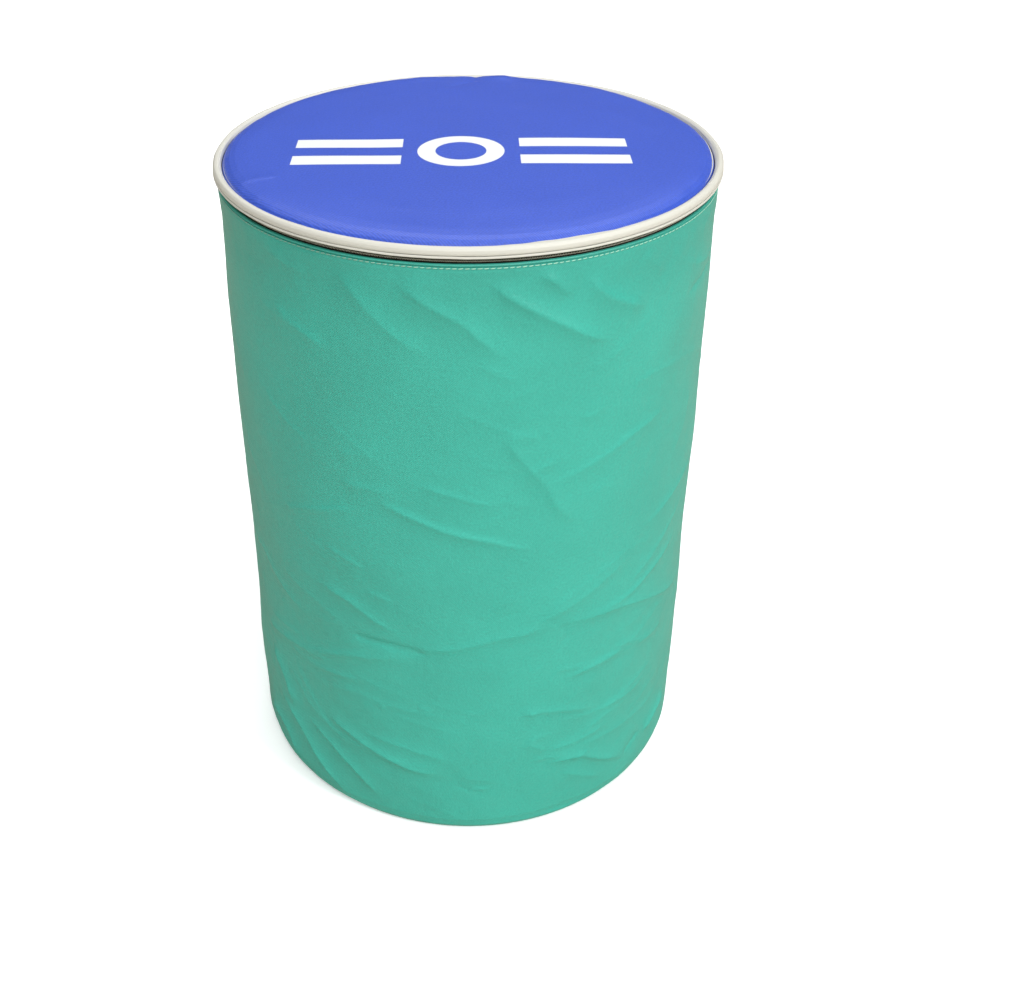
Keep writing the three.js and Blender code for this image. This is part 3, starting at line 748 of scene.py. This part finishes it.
def wrinkled(A, R, Z):
    """Moves the outer face in and out."""
    n = len(sleeve_face)
    x, z, r = np.radians(A[:, :n]) * WRAP_R, Z[:, :n], R[:, :n]
    from_front = np.abs((A[:, :n] + 180) % 360 - 180)
    h = np.zeros_like(x)
    for table, gain, widen, turns in CREASES:
        for points, crest, up, down, *groove in table:
            for turn in turns:
                line = [(math.radians(a + turn) * WRAP_R, height) for a, height in points]
                crease(x, z, h, line, gain * crest, widen * up, 0.8 * down, *groove, blunt=0.8)
    h += 1.1 * soft(x, z) + 0.26 * middling(x, z) * (0.5 + 0.5 * smooth_step(420, 120, z))
    # calmer at the left and right sides
    h *= 1 - 0.62 * np.exp(-(((from_front - 87) / 14.0) ** 2))
    h += 0.07 * tiny(x, z)
    # the lap seam behind is stiff and stays straight
    h *= 1 - np.exp(-(((180 - from_front) / 4.6) ** 4))
    # valleys stop short of the inner face
    h = np.maximum(h, np.maximum(-2.9, 323.1 - r) + 0.2 * np.tanh(h))
    h += 0.5 * hem_waves(x, z) * np.exp(-np.maximum(SLEEVE_TOP - z, 0) / 22.0)
    h *= smooth_step(SEAM - 27.5, SEAM - 46, z) * smooth_step(2, 20, z)
    h += 0.16 * hem_waves(x, z * 0) * (z > SEAM - 28)
    moved = R.copy()
    moved[:, :n] += h * (r > 318)
    return moved, Z


sleeve_profile = np.vstack([sleeve_face, dense(SLEEVE_IN, 26, closed=False)])
sleeve = lathe("vis_side_sleeve", sleeve_profile, sleeve_angles, wrinkled, sharp=60)
keep(sleeve, "drum", "green_vinyl", "side_sleeve")

# Rings of one stitch: place along its length, share of its thickness.
STITCH_RINGS = [(-0.5, 0.25), (-0.42, 0.85), (-0.15, 1.0), (0.15, 1.0), (0.42, 0.85), (0.5, 0.25)]


def stitches(name, places, length, thick, seed, upright=False):
    """Short thread capsules with sunk ends. places are (angle, radius, z, sideways shift)."""
    g = np.random.default_rng(seed)
    sides, last = 6, (len(STITCH_RINGS) - 1) * 6
    co, quads, caps = [], [], []
    for angle, radius, z, shift in places:
        tilt = g.uniform(-0.05, 0.05) + 0.10
        size = length * g.uniform(0.93, 1.05)
        a = math.radians(angle)
        tangent = np.array([math.cos(a), math.sin(a), 0.0])
        out = np.array([math.sin(a), -math.cos(a), 0.0])
        along = np.array([0, 0, 1.0]) if upright else tangent + (0, 0, tilt)
        along /= np.linalg.norm(along)
        across = np.cross(along, out)
        across /= np.linalg.norm(across)
        centre = on_circle(radius, a, z) + tangent * shift
        base = len(co)
        for u, share in STITCH_RINGS:
            sink = -0.55 * thick * (abs(u) * 2) ** 4
            for k in range(sides):
                f = 2 * math.pi * k / sides
                lift = math.cos(f) * thick * share * 0.7 + sink
                co.append(centre + along * u * size + out * lift + across * math.sin(f) * thick * share)
        for row in range(base, base + last, sides):
            for k in range(sides):
                k2 = (k + 1) % sides
                quads.append([row + k, row + sides + k, row + sides + k2, row + k2])
        caps.append([base + k for k in range(sides)])
        caps.append([base + last + k for k in range(sides)][::-1])
    return paint(outward(mesh_object(name, co, quads, extra=caps)), thread)


HEM_COUNT = 289
hem_places = [(-180 + (i + 0.5) * 360 / HEM_COUNT, 325.45, SEAM - 25.6, 0) for i in range(HEM_COUNT)]
hem_row = stitches("vis_hem_stitches", hem_places, length=5.4, thick=0.62, seed=1)
keep(hem_row, "drum", "green_vinyl")

# Rear lap seam, with a row of stitches down each edge.
SEAM_HALF = 2.8  # degrees
SEAM_Z = [25, 90, 300, 600, SEAM - 150, SEAM - 66, SEAM - 31.5]
SEAM_R = [328.1, 328.4, 327.6, 326.8, 326.1, 324.2, 325.2]


def seam_radius(z):
    return float(np.interp(z, SEAM_Z, SEAM_R)) + 1.0


def round_edges(A, R, Z):
    return R - 0.7 * (np.abs(A - 180) / SEAM_HALF) ** 6, Z


lap = [(seam_radius(z) + 0.1, z) for z in np.linspace(30, SEAM - 32, 90)]
lap += [(r - 1.6, z) for r, z in lap[::-1]]
rear_arc = arc(16, 180 - SEAM_HALF, 180 + SEAM_HALF)
rear_seam = lathe("vis_rear_seam", lap, rear_arc, round_edges, sharp=50)
keep(rear_seam, "drum", "green_vinyl", "rear_seam_strip")
for label, side in (("a", -1), ("b", 1)):
    heights = [36 + i * 7.1 for i in range(120)]
    places = [(180.0, seam_radius(z) + 0.2, z, side * 12.5) for z in heights]
    rear_row = stitches("vis_rear_stitches_" + label, places, 5.2, 0.6, seed=5 + side, upright=True)
    keep(rear_row, "drum", "green_vinyl")

# ------------------------------------------------------------------ base
base_profile = [(AXIS_R, 0.02), (299.9, 0.02), (299.9, 1.4), (AXIS_R, 1.4)]
base_panel = lathe("vis_base_panel", base_profile, ring(128), sharp=40)
plan_uv(base_panel)
keep(base_panel, "drum", "base_vinyl", "base_panel")

# ------------------------------------------------------------------ round top
TOP_OUT = from_seam([
    (AXIS_R, 8.0), (150, 7.6, 60), (240, 6.7, 50), (286, 5.3, 20), (300, 3.9, 8),
    (307.5, 1.9, 5), (313, -1.2, 4), (316.6, -5.4, 2), (317.4, -8, 0),
])
TOP_IN = from_seam([
    (315.9, -8), (315.7, -4.2), (311.5, -2.2), (304, 0.4), (285, 3.2), (240, 5.0), (150, 6.1),
    (AXIS_R, 6.5),
])
# Marks in the sheet: points (x, y), crest height, flank widths, faded shares of the ends.
ENDS = (0.25, 0.3)
TOP_MARKS = [
    # valleys and puckers at the rear
    ([(58, 292), (64, 250), (72, 190), (80, 110)], -1.4, 20, 24, ENDS),
    ([(-36, 236), (-14, 251), (9, 268)], -1.5, 6, 9, (0.5, 0.1)),
    ([(9, 262), (12, 290), (14, 320)], -2.6, 7, 7, (0.35, 0.02)),
    ([(53, 262), (55, 290), (57, 322)], 2.4, 26, 9, (0.5, 0.02)),
    ([(-90, 318), (-70, 290), (-60, 262)], 1.6, 34, 34, (0.02, 0.5)),
    # small marks towards the front
    ([(-282, -142), (-262, -134), (-226, -124)], 1.0, 16, 3.5, ENDS),
    ([(-84, -234), (-58, -228)], 0.5, 5, 2.5, ENDS),
    ([(92, -170), (120, -164)], 0.35, 6, 3, ENDS),
    # soft swells right and left
    ([(150, 150), (215, 95), (262, 20)], 0.9, 26, 18, ENDS),
    ([(-150, 215), (-120, 120), (-118, 40)], 0.7, 22, 22, ENDS),
]
# The deepest a valley may go at each radius: what the sheet's own thickness leaves room for.
ROOM_R = [0, 150, 240, 285, 304, 312]
ROOM = [1.1, 1.1, 1.3, 1.7, 2.1, 2.1]
top_face = fillet(TOP_OUT, 0, 6, closed=False)
top_face = dense(top_face, 3.4, closed=False)
ripple = waves(30, 120, 420, 13)
edge_pull = waves(30, 14, 60, 31, 0.02)


def top_shape(A, R, Z):
    n = len(top_face)
    a, r = np.radians(A), R[:, :n]
    x, y = r * np.sin(a[:, :n]), -r * np.cos(a[:, :n])
    h = 0.5 * ripple(x, y)
    for points, crest, up, down, ends in TOP_MARKS:
        crease(x, y, h, points, crest, up, down, ends=ends)
    h *= smooth_step(SEAM - 7, SEAM - 2, Z[:, :n])
    H = 0.22 * edge_pull(a * WRAP_R, R * 0) * np.exp(-(((R - 312) / 7.0) ** 2))
    H[:, :n] += np.maximum(h, -np.interp(r, ROOM_R, ROOM))
    return R, Z + H


top_profile = np.vstack([top_face, dense(TOP_IN, 30, closed=False)])
top = lathe("vis_top_panel", top_profile, ring(540), top_shape, sharp=70)
plan_uv(top)
paint(top, top_print, vinyl_back)
# faces that look down show the back of the vinyl
normals = np.empty(len(top.data.polygons) * 3)
top.data.polygons.foreach_get("normal", normals)
facing_down = (normals.reshape(-1, 3)[:, 2] < 0).astype(np.int32)
top.data.polygons.foreach_set("material_index", facing_down)
keep(top, "lid", "blue_vinyl", "top_panel")

# ------------------------------------------------------------------ white edge
PIPING = from_seam([
    (317.9, -7.6, 0.6), (318.0, -5.2, 1.6), (319.2, -2.2, 2.2), (322.4, -0.1, 3),
    (326.4, -0.5, 3), (328.7, -3.4, 3), (329.0, -6.8, 2), (328.3, -9.0, 0.8),
    (326.8, -10.1, 0.6), (322.0, -10.2, 0.6),
])
GUARD = from_seam([
    (320.3, -11.0, 0.2), (326.0, -10.7, 0.5), (327.9, -9.9, 0.8), (329.2, -10.3, 0.7),
    (329.5, -11.7, 0.6), (328.9, -12.7, 0.5), (327.7, -12.5, 0.4), (326.6, -11.7, 0.3),
    (320.3, -11.6, 0.2),
])
edge_angles = ring(540)
piping_waves = edge_waves(26, 20, 160, 41)
guard_waves = edge_waves(26, 18, 120, 43)


def piping_shape(A, R, Z):
    w = piping_waves(A)
    return R + 0.18 * w * (R > 319), Z + 0.12 * w * (Z > SEAM - 9)


def guard_shape(A, R, Z):
    return R, Z + 0.10 * guard_waves(A) * (R > 326.5)


piping = lathe("vis_edge_piping", fillet(PIPING, 0, 4), edge_angles, piping_shape, sharp=60)
keep(piping, "lid", "white_vinyl", "edge_piping", "piping_cord")
guard = lathe("vis_zip_guard", fillet(GUARD, 0, 3), edge_angles, guard_shape, sharp=60)
keep(guard, "lid", "white_vinyl", "zip_guard_strip")

# ------------------------------------------------------------------ zip
COIL_R = 321.8
COIL_DEPTH, COIL_HEIGHT = 0.62, 0.8  # half sizes of the flattened helix
COIL_PITCH = 1.9
FILAMENT_R = 0.34


def coil(name, z_mid, phase):
    """One row of zip coil: a flattened helix of filament that runs round the drum."""
    half = ZIP_HALF - 0.15
    turns = int(2 * math.radians(half) * 321.4 / COIL_PITCH)
    per_turn, sides = 9, 4
    n = turns * per_turn
    t = np.arange(n + 1) / per_turn
    a = np.radians(-half + 2 * half * (t + phase) / (turns + 1))
    f = 2 * math.pi * t
    path = on_circle(COIL_R + COIL_DEPTH * np.cos(f), a, z_mid + COIL_HEIGHT * np.sin(f))
    along = np.gradient(path, axis=0)
    along /= np.linalg.norm(along, axis=1)[:, None]
    out = path - on_circle(COIL_R, a, np.full_like(a, z_mid))
    out -= (out * along).sum(1)[:, None] * along
    out /= np.linalg.norm(out, axis=1)[:, None]
    across = np.cross(along, out)
    corners = [2 * math.pi * (k + 0.5) / sides for k in range(sides)]
    co = [path + FILAMENT_R * (math.cos(c) * out + math.sin(c) * across) for c in corners]
    idx = np.arange((n + 1) * sides).reshape(n + 1, sides)
    k = np.arange(sides)
    k2 = (k + 1) % sides
    quads = np.stack([idx[:-1][:, k], idx[1:][:, k], idx[1:][:, k2], idx[:-1][:, k2]], -1)
    ends = [idx[0][::-1], idx[-1]]
    return outward(mesh_object(name, np.stack(co, 1).reshape(-1, 3), quads, extra=ends))


# the upper row takes the coil colour darkened by painted shade, the lower row the coil's own
coil_upper = paint(coil("vis_zip_coil_upper", CHAIN + 0.85, 0.5), coil_painted_shade)
keep(coil_upper, "lid", "coil", "zip_coil_upper")
keep(coil("vis_zip_coil_lower", CHAIN - 1.55, 0.0), "drum", "coil", "zip_coil_lower")


def rectangle(x0, x1, z0, z1):
    return [(x0, z0), (x1, z0), (x1, z1), (x0, z1)]


TAPES = (
    ("upper", CHAIN + 0.4, SEAM - 10.4, "lid"),
    ("lower", SLEEVE_TOP, CHAIN - 0.4, "drum"),
)
for place, z0, z1, body in TAPES:
    section = dense(rectangle(319.4, 320.0, z0, z1), 6)
    tape = lathe("vis_zip_tape_" + place, section, arc(480, -ZIP_HALF, ZIP_HALF), sharp=40)
    keep(tape, body, "tape", "zip_tape_" + place)

# Vinyl hinge strip at the rear, between the ends of the zip.
HINGE = from_seam([
    (319.6, -27), (320.3, -27), (320.3, -18), (320.6, -14), (321.6, -11.6), (320.9, -11.4),
    (319.9, -14), (319.6, -18),
])
HINGE_START = ZIP_HALF + 1.1
hinge_arc = arc(60, HINGE_START, 360 - HINGE_START)
hinge = lathe("vis_hinge_strip", dense(HINGE, 1.6), hinge_arc, sharp=50)
paint(hinge, FINISH["white_vinyl"])
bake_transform(hinge)
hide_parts("hinge_strip")


def bevelled(o, width, segments=3):
    m = o.modifiers.new("bevel", "BEVEL")
    m.width = width * MM
    m.segments = segments
    m.limit_method = "ANGLE"
    m.angle_limit = math.radians(30)


def put(o, z, angle):
    """Lifts a piece built facing the front at height 0, and turns it to its place."""
    o.data.transform(Matrix.Translation((0, 0, z * MM)))
    o.data.transform(Matrix.Rotation(math.radians(angle), 4, "Z"))


def solid(name, parts):
    """One mesh of slabs: (outline of (x, z), first radius, second radius)."""
    co, quads, ends = [], [], []
    for outline, r0, r1 in parts:
        b, n = len(co), len(outline)
        co += [(x, -r, z) for r in (r0, r1) for x, z in outline]
        for i in range(n):
            j = (i + 1) % n
            quads.append([b + i, b + j, b + n + j, b + n + i])
        ends.append(list(range(b, b + n))[::-1])
        ends.append(list(range(b + n, b + 2 * n)))
    o = mesh_object(name, co, quads, extra=ends, smooth=False)
    bm = bmesh.new()
    bm.from_mesh(o.data)
    bmesh.ops.recalc_face_normals(bm, faces=bm.faces)
    bm.to_mesh(o.data)
    bm.free()
    return o


SLIDER_PLAN = [
    (-6.5, -2.6), (-5.6, -3.7), (-4.2, -3.9), (-1.5, -3.55), (1.5, -3.5), (4.6, -3.2),
    (6.0, -2.4), (6.5, -1.2), (6.5, 1.2), (6.0, 2.4), (4.6, 3.2), (1.5, 3.5), (-1.5, 3.55),
    (-4.2, 3.9), (-5.6, 3.7), (-6.5, 2.6),
]
SLIDER_LIP = rectangle(-5.4, 5.0, -3.85, -3.45)
slider = solid("vis_zip_slider", [
    # outer and inner plate, and the post between them
    (SLIDER_PLAN, 323.15, 324.45),
    (SLIDER_PLAN, 316.75, 317.95),
    (rectangle(-6.1, -3.1, -0.24, 0.24), 317.8, 323.3),
    # lips along the lower edge
    (SLIDER_LIP, 322.5, 323.4),
    (SLIDER_LIP, 317.8, 318.35),
    # bridge for the pull tab
    (rectangle(-3.6, -2.5, -0.8, 0.8), 324.3, 327.0),
    (rectangle(2.5, 3.6, -0.8, 0.8), 324.3, 327.0),
    (rectangle(-3.9, 3.9, -0.8, 0.8), 326.55, 327.6),
])
bevelled(slider, 0.17)
put(slider, CHAIN, SLIDER_ANGLE)
keep(slider, "slider", "slider_metal", "zip_slider")

# Pull tab, as (x, z) from the slider's middle.
TAB_OUTLINE = [
    (0.6, -2.5), (0.6, 2.5), (-3, 2.7), (-9, 3.0), (-22, 3.0), (-25.4, 2.6), (-27.2, 1.5),
    (-27.9, 0), (-27.2, -1.5), (-25.4, -2.6), (-22, -3.0), (-9, -3.0), (-3, -2.7),
]
TAB_WINDOW = [
    (-0.6, -1.5), (-0.6, 1.5), (-4.8, 1.5), (-5.3, 1.1), (-5.4, 0), (-5.3, -1.1), (-4.8, -1.5),
]
EYE_X, EYE_R = -24.2, 1.35
TAB_OUTER_R, TAB_THICK = 326.1, 1.1


def tab_mesh():
    """Tongue with a window at its root and an eye at its tip."""
    turns = [2 * math.pi * i / 20 for i in range(20)]
    eye = [(EYE_X + EYE_R * math.cos(t), EYE_R * math.sin(t)) for t in turns]
    bm = bmesh.new()
    edges = []
    for loop in (TAB_OUTLINE, TAB_WINDOW, eye):
        vs = [bm.verts.new((x * MM, -TAB_OUTER_R * MM, z * MM)) for x, z in loop]
        edges += [bm.edges.new((v, vs[(i + 1) % len(vs)])) for i, v in enumerate(vs)]
    bmesh.ops.triangle_fill(bm, edges=edges, use_beauty=True)
    got = bmesh.ops.extrude_face_region(bm, geom=list(bm.faces))
    inner = [v for v in got["geom"] if isinstance(v, bmesh.types.BMVert)]
    bmesh.ops.translate(bm, verts=inner, vec=(0, TAB_THICK * MM, 0))
    bmesh.ops.recalc_face_normals(bm, faces=bm.faces)
    me = bpy.data.meshes.new("vis_pull_tab")
    bm.to_mesh(me)
    bm.free()
    return link_object("vis_pull_tab", me)


tab = tab_mesh()
bevelled(tab, 0.2, segments=2)
put(tab, CHAIN, SLIDER_ANGLE)
keep(tab, "tab", "slider_metal", "pull_tab")

for row, z, body in (("upper", CHAIN + 1.8, "lid"), ("lower", CHAIN - 1.8, "drum")):
    for side, sign in (("right", 1), ("left", -1)):
        node = "zip_stop_%s_%s" % (row, side)
        stop = solid("vis_" + node, [(rectangle(-1.6, 1.6, -1.2, 1.2), 319.1, 322.7)])
        bevelled(stop, 0.35)
        put(stop, z, sign * (ZIP_HALF + 0.45))
        keep(stop, body, "slider_metal", node)

# ------------------------------------------------------------------ inside
PAD = [(AXIS_R, DRUM_TOP + 0.5), (314.6, DRUM_TOP + 0.5, 2)] + from_seam([
    (314.6, -5.0, 3), (309, -3.0, 6), (300, -0.6, 6), (283, 2.0, 20), (240, 4.1, 30),
    (150, 5.4, 0), (AXIS_R, 5.8, 0),
])
WRAP = [
    (297.4, BOARD_Z + 0.2), (317.6, BOARD_Z + 0.2, 3), (320.4, BOARD_Z + 24, 3),
    (320.6, DRUM_TOP - 0.5, 3), (297.4, DRUM_TOP - 0.5, 1),
]
pad_waves = waves(30, 60, 300, 51)


def pad_shape(A, R, Z):
    a = np.radians(A)
    return R, Z + 0.4 * (pad_waves(R * np.sin(a), R * np.cos(a)) - 1) * (Z > SEAM - 2)


pad = lathe("vis_top_foam_pad", dense(fillet(PAD, 0, 5), 12), ring(180), pad_shape, sharp=50)
plan_uv(pad)
keep(pad, "drum", "foam", "top_foam_pad")
wrap_arc = arc(160, -179.75, 179.75)
foam_wrap = lathe("vis_side_foam_wrap", fillet(WRAP, 0, 4), wrap_arc, sharp=50)
keep(foam_wrap, "drum", "foam", "side_foam_wrap")


def turned(node, slot, profile, corner=0.5, angles=ring(144)):
    o = lathe("vis_" + node, fillet(profile, corner, 3), angles, sharp=40)
    keep(o, "drum", slot, node)


def board(node, radius, z0, z1):
    turned(node, "plywood", [(AXIS_R, z0), (radius, z0), (radius, z1), (AXIS_R, z1)])


board("base_board", 310.6, 2.0, 13.7)
board("top_board", 272.8, DRUM_TOP - 12.8, DRUM_TOP - 0.3)

# Steel drum: radii of its wall, foot and rolling hoops, and the sheet's thickness.
WALL, FOOT, HOOP, SHEET = 286.5, 292.5, 296.5, 1.5
HOOP_SECTION = [(WALL, -16), (HOOP - 3, -9), (HOOP, -3), (HOOP, 3), (HOOP - 3, 9), (WALL, 16)]
outer_wall = [(FOOT, BOARD_Z), (FOOT, BOARD_Z + 15), (WALL, BOARD_Z + 21)]
for hoop_z in (BOARD_Z + 292, BOARD_Z + 584):
    outer_wall += [(r, hoop_z + z) for r, z in HOOP_SECTION]
outer_wall += [(WALL, DRUM_TOP - 26), (WALL + 2.4, DRUM_TOP - 12), (WALL + 2.4, DRUM_TOP - 4.5)]
inner_wall = [(r - SHEET, z) for r, z in outer_wall[2:][::-1]]
inner_wall += [(WALL - SHEET, BOARD_Z + 15.4), (FOOT - SHEET, BOARD_Z + 12), (FOOT - SHEET, BOARD_Z)]
turned("drum_shell", "drum_paint", outer_wall + inner_wall, corner=1.0)


def from_wall(z0, rows):
    """Profile rows given from the drum's wall radius and from z0."""
    return [(WALL + r, z0 + z) for r, z in rows]


FLANGE = FOOT - WALL - SHEET - 1.8  # edge of the bottom, just inside the foot
BOTTOM = from_wall(BOARD_Z, [
    (-12, 12), (-5, 9), (-3.4, 1), (FLANGE, 1), (FLANGE, 3), (-2, 3), (-4.4, 13.5),
])
BOTTOM = [(AXIS_R, BOARD_Z + 12)] + BOTTOM + [(AXIS_R, BOARD_Z + 13.5)]
LID = from_wall(DRUM_TOP, [
    (-11, -14.5), (-7, -12.5), (-5, -1.5), (4.6, -1.5), (4.6, -8), (5.8, -8), (5.8, -0.4),
    (-6.4, -0.4), (-8.6, -11.4), (-12, -13.2),
])
LID = [(AXIS_R, DRUM_TOP - 14.5)] + LID + [(AXIS_R, DRUM_TOP - 13.2)]
GASKET = from_wall(DRUM_TOP, rectangle(-1.6, 3.6, -4.2, -1.8))
CLAMP = from_wall(DRUM_TOP, [
    (6.3, -0.2), (9.4, -1.6), (9.4, -14), (3.2, -15.6), (3.2, -14.2), (8, -12.8), (8, -2.6),
    (6.3, -1.6),
])
turned("drum_bottom", "drum_paint", BOTTOM)
turned("drum_lid", "drum_paint", LID, corner=0.4)
turned("lid_gasket", "rubber", GASKET, corner=0.8)
turned("clamp_ring", "zinc_steel", CLAMP, angles=arc(144, -177.2, 177.2))

# every CAD node gets the finish of its slot
slots = {s["node"]: s["material_slot"] for s in frame["record"]["subparts"]}
for node, o in frame["nodes"].items():
    paint(o, FINISH[slots[node]])


# ------------------------------------------------------------------ floor
def pale_floor():
    """Matt pale floor, white to the camera; it bounces less light, so that the sides of the
    drum keep their own colour."""
    f = Finish("floor")
    ray = f.add("ShaderNodeLightPath").outputs
    bounced = f.mix(ray["Is Glossy Ray"], (0.78, 0.75, 0.69, 1), (0.42, 0.36, 0.28, 1))
    color = f.mix(ray["Is Camera Ray"], bounced, (0.95, 0.95, 0.95, 1))
    glow = f.math("MULTIPLY", ray["Is Camera Ray"], 0.30)
    more = {"Emission Color": (1, 1, 1, 1), "Emission Strength": glow, "Specular IOR Level": 0.0}
    f.surface(color, rough=1.0, **more)
    return f


floor_finish = pale_floor()
FLOOR_HALF, FLOOR_Z = 30000, -0.6
floor_corners = [(x * FLOOR_HALF, y * FLOOR_HALF, FLOOR_Z) for x, y in rectangle(-1, 1, -1, 1)]
floor = mesh_object("floor", floor_corners, [[0, 1, 2, 3]], smooth=False)
paint(floor, floor_finish)

# ------------------------------------------------------------------ surroundings
scene = bpy.context.scene
world = bpy.data.worlds.new("world")
scene.world = world
world.use_nodes = True
world.node_tree.nodes.clear()
sky = NodeGraph(world.node_tree)


def background(share, strength, color, name):
    """A share of the surroundings: colour times strength where the share is 1."""
    node = sky.add("ShaderNodeBackground", {"Color": color}, name=name)
    level = sky.math("MULTIPLY", share, strength)
    level.node.name = name + "_strength"
    sky.feed(node, {"Strength": level})
    return node.outputs[0]


def plus(a, b):
    return sky.add("ShaderNodeAddShader", {0: a, 1: b}).outputs[0]


def mix_shader(share, a, b):
    return sky.add("ShaderNodeMixShader", {0: share, 1: a, 2: b}).outputs[0]


# Shares by direction of view; the front and the overhead light are dimmer towards the left.
heading = sky.separate(sky.add("ShaderNodeTexCoord").outputs["Generated"])
front_dim = sky.math("MULTIPLY_ADD", sky.map_range(heading[0], -0.95, -0.2), 0.8, 0.2)
front_share = sky.math("MULTIPLY", sky.map_range(heading[1], 0.0, -0.8), front_dim)
rear_share = sky.map_range(heading[1], -0.55, 0.45)
up_dim = sky.math("MULTIPLY_ADD", sky.map_range(heading[0], -0.85, -0.1), 0.55, 0.45)
up_share = sky.math("MULTIPLY", sky.map_range(heading[2], 0.35, 0.95), up_dim)
high = sky.map_range(heading[2], 0.5, 0.8)
band_share = sky.math("MULTIPLY", high, sky.map_range(heading[1], 0.05, 0.4))
everywhere = sky.add("ShaderNodeValue").outputs[0]
everywhere.default_value = 1.0

# What shines in the satin coats: a soft band high up behind, a paler front, a dim rest.
WHITE_LIGHT, FRONT_LIGHT = (1, 1, 1, 1), (1.0, 0.99, 0.97, 1)
sheen = plus(
    plus(
        background(front_share, 0.70, FRONT_LIGHT, "g_front"),
        background(band_share, 2.3, WHITE_LIGHT, "g_band"),
    ),
    background(everywhere, 0.13, (1.0, 0.95, 0.88, 1), "g_rest"),
)
# What lights matt surfaces.
around = plus(
    plus(
        background(front_share, 0.64, FRONT_LIGHT, "front"),
        background(rear_share, 0.02, (1.0, 0.88, 0.74, 1), "rear"),
    ),
    background(up_share, 1.38, WHITE_LIGHT, "up"),
)
seen = sky.add("ShaderNodeBackground", {"Color": WHITE_LIGHT, "Strength": 1.0}).outputs[0]
ray = sky.add("ShaderNodeLightPath").outputs
lit = mix_shader(ray["Is Glossy Ray"], around, sheen)
sky.add("ShaderNodeOutputWorld", {"Surface": mix_shader(ray["Is Camera Ray"], lit, seen)})


# ------------------------------------------------------------------ lights and camera, metres
def area(name, at, target, width, depth, power):
    lamp = bpy.data.lights.new(name, "AREA")
    lamp.energy = power
    lamp.shape = "RECTANGLE"
    lamp.size = width
    lamp.size_y = depth
    o = bpy.data.objects.new(name, lamp)
    o.location = at
    o.rotation_mode = "QUATERNION"
    o.rotation_quaternion = (Vector(at) - Vector(target)).to_track_quat("Z", "Y")
    scene.collection.objects.link(o)
    return o


area("key", (5.9, -5.1, 6.3), (0, 0, 0.45), width=1.8, depth=1.8, power=350.0)
area("overhead", (0.1, 0.9, 3.1), (0, 0, 0.9), width=2.4, depth=1.8, power=6.0)
area("high", (0.8, -5.4, 8.2), (0, 0, 0.45), width=1.9, depth=1.9, power=135.0)
# low fill for the far side; it gives no reflection in the satin top
fill = area("rear", (0.2, 6.6, 1.9), (0, 0, 0.5), width=1.6, depth=1.6, power=80.0)
fill.visible_glossy = False

CAMERA_PLACE = (0.0, -1.5592, 1.4692)
# yaw is from +Y towards +X, pitch is downwards, roll is about the line of sight
yaw, pitch, roll = math.radians(-1.31), math.radians(30.85), math.radians(-0.66)
camera_data = bpy.data.cameras.new("camera")
camera = bpy.data.objects.new("camera", camera_data)
scene.collection.objects.link(camera)
camera_data.sensor_fit = "HORIZONTAL"
camera_data.sensor_width = 36.0
camera_data.lens = 43.59375
camera_data.shift_x = 0.067578125
camera_data.shift_y = -0.095703125
level = math.cos(pitch)
forward = Vector((math.sin(yaw) * level, math.cos(yaw) * level, -math.sin(pitch)))
right = forward.cross(Vector((0, 0, 1))).normalized()
up = right.cross(forward)
rolled_right = math.cos(roll) * right + math.sin(roll) * up
rolled_up = -math.sin(roll) * right + math.cos(roll) * up
axes = Matrix((rolled_right, rolled_up, -forward)).transposed()
camera.matrix_world = Matrix.Translation(CAMERA_PLACE) @ axes.to_4x4()
scene.camera = camera
scene.view_settings.view_transform = "Standard"
scene.view_settings.look = "None"
scene.view_settings.exposure = 0.0
scene.view_settings.gamma = 1.0
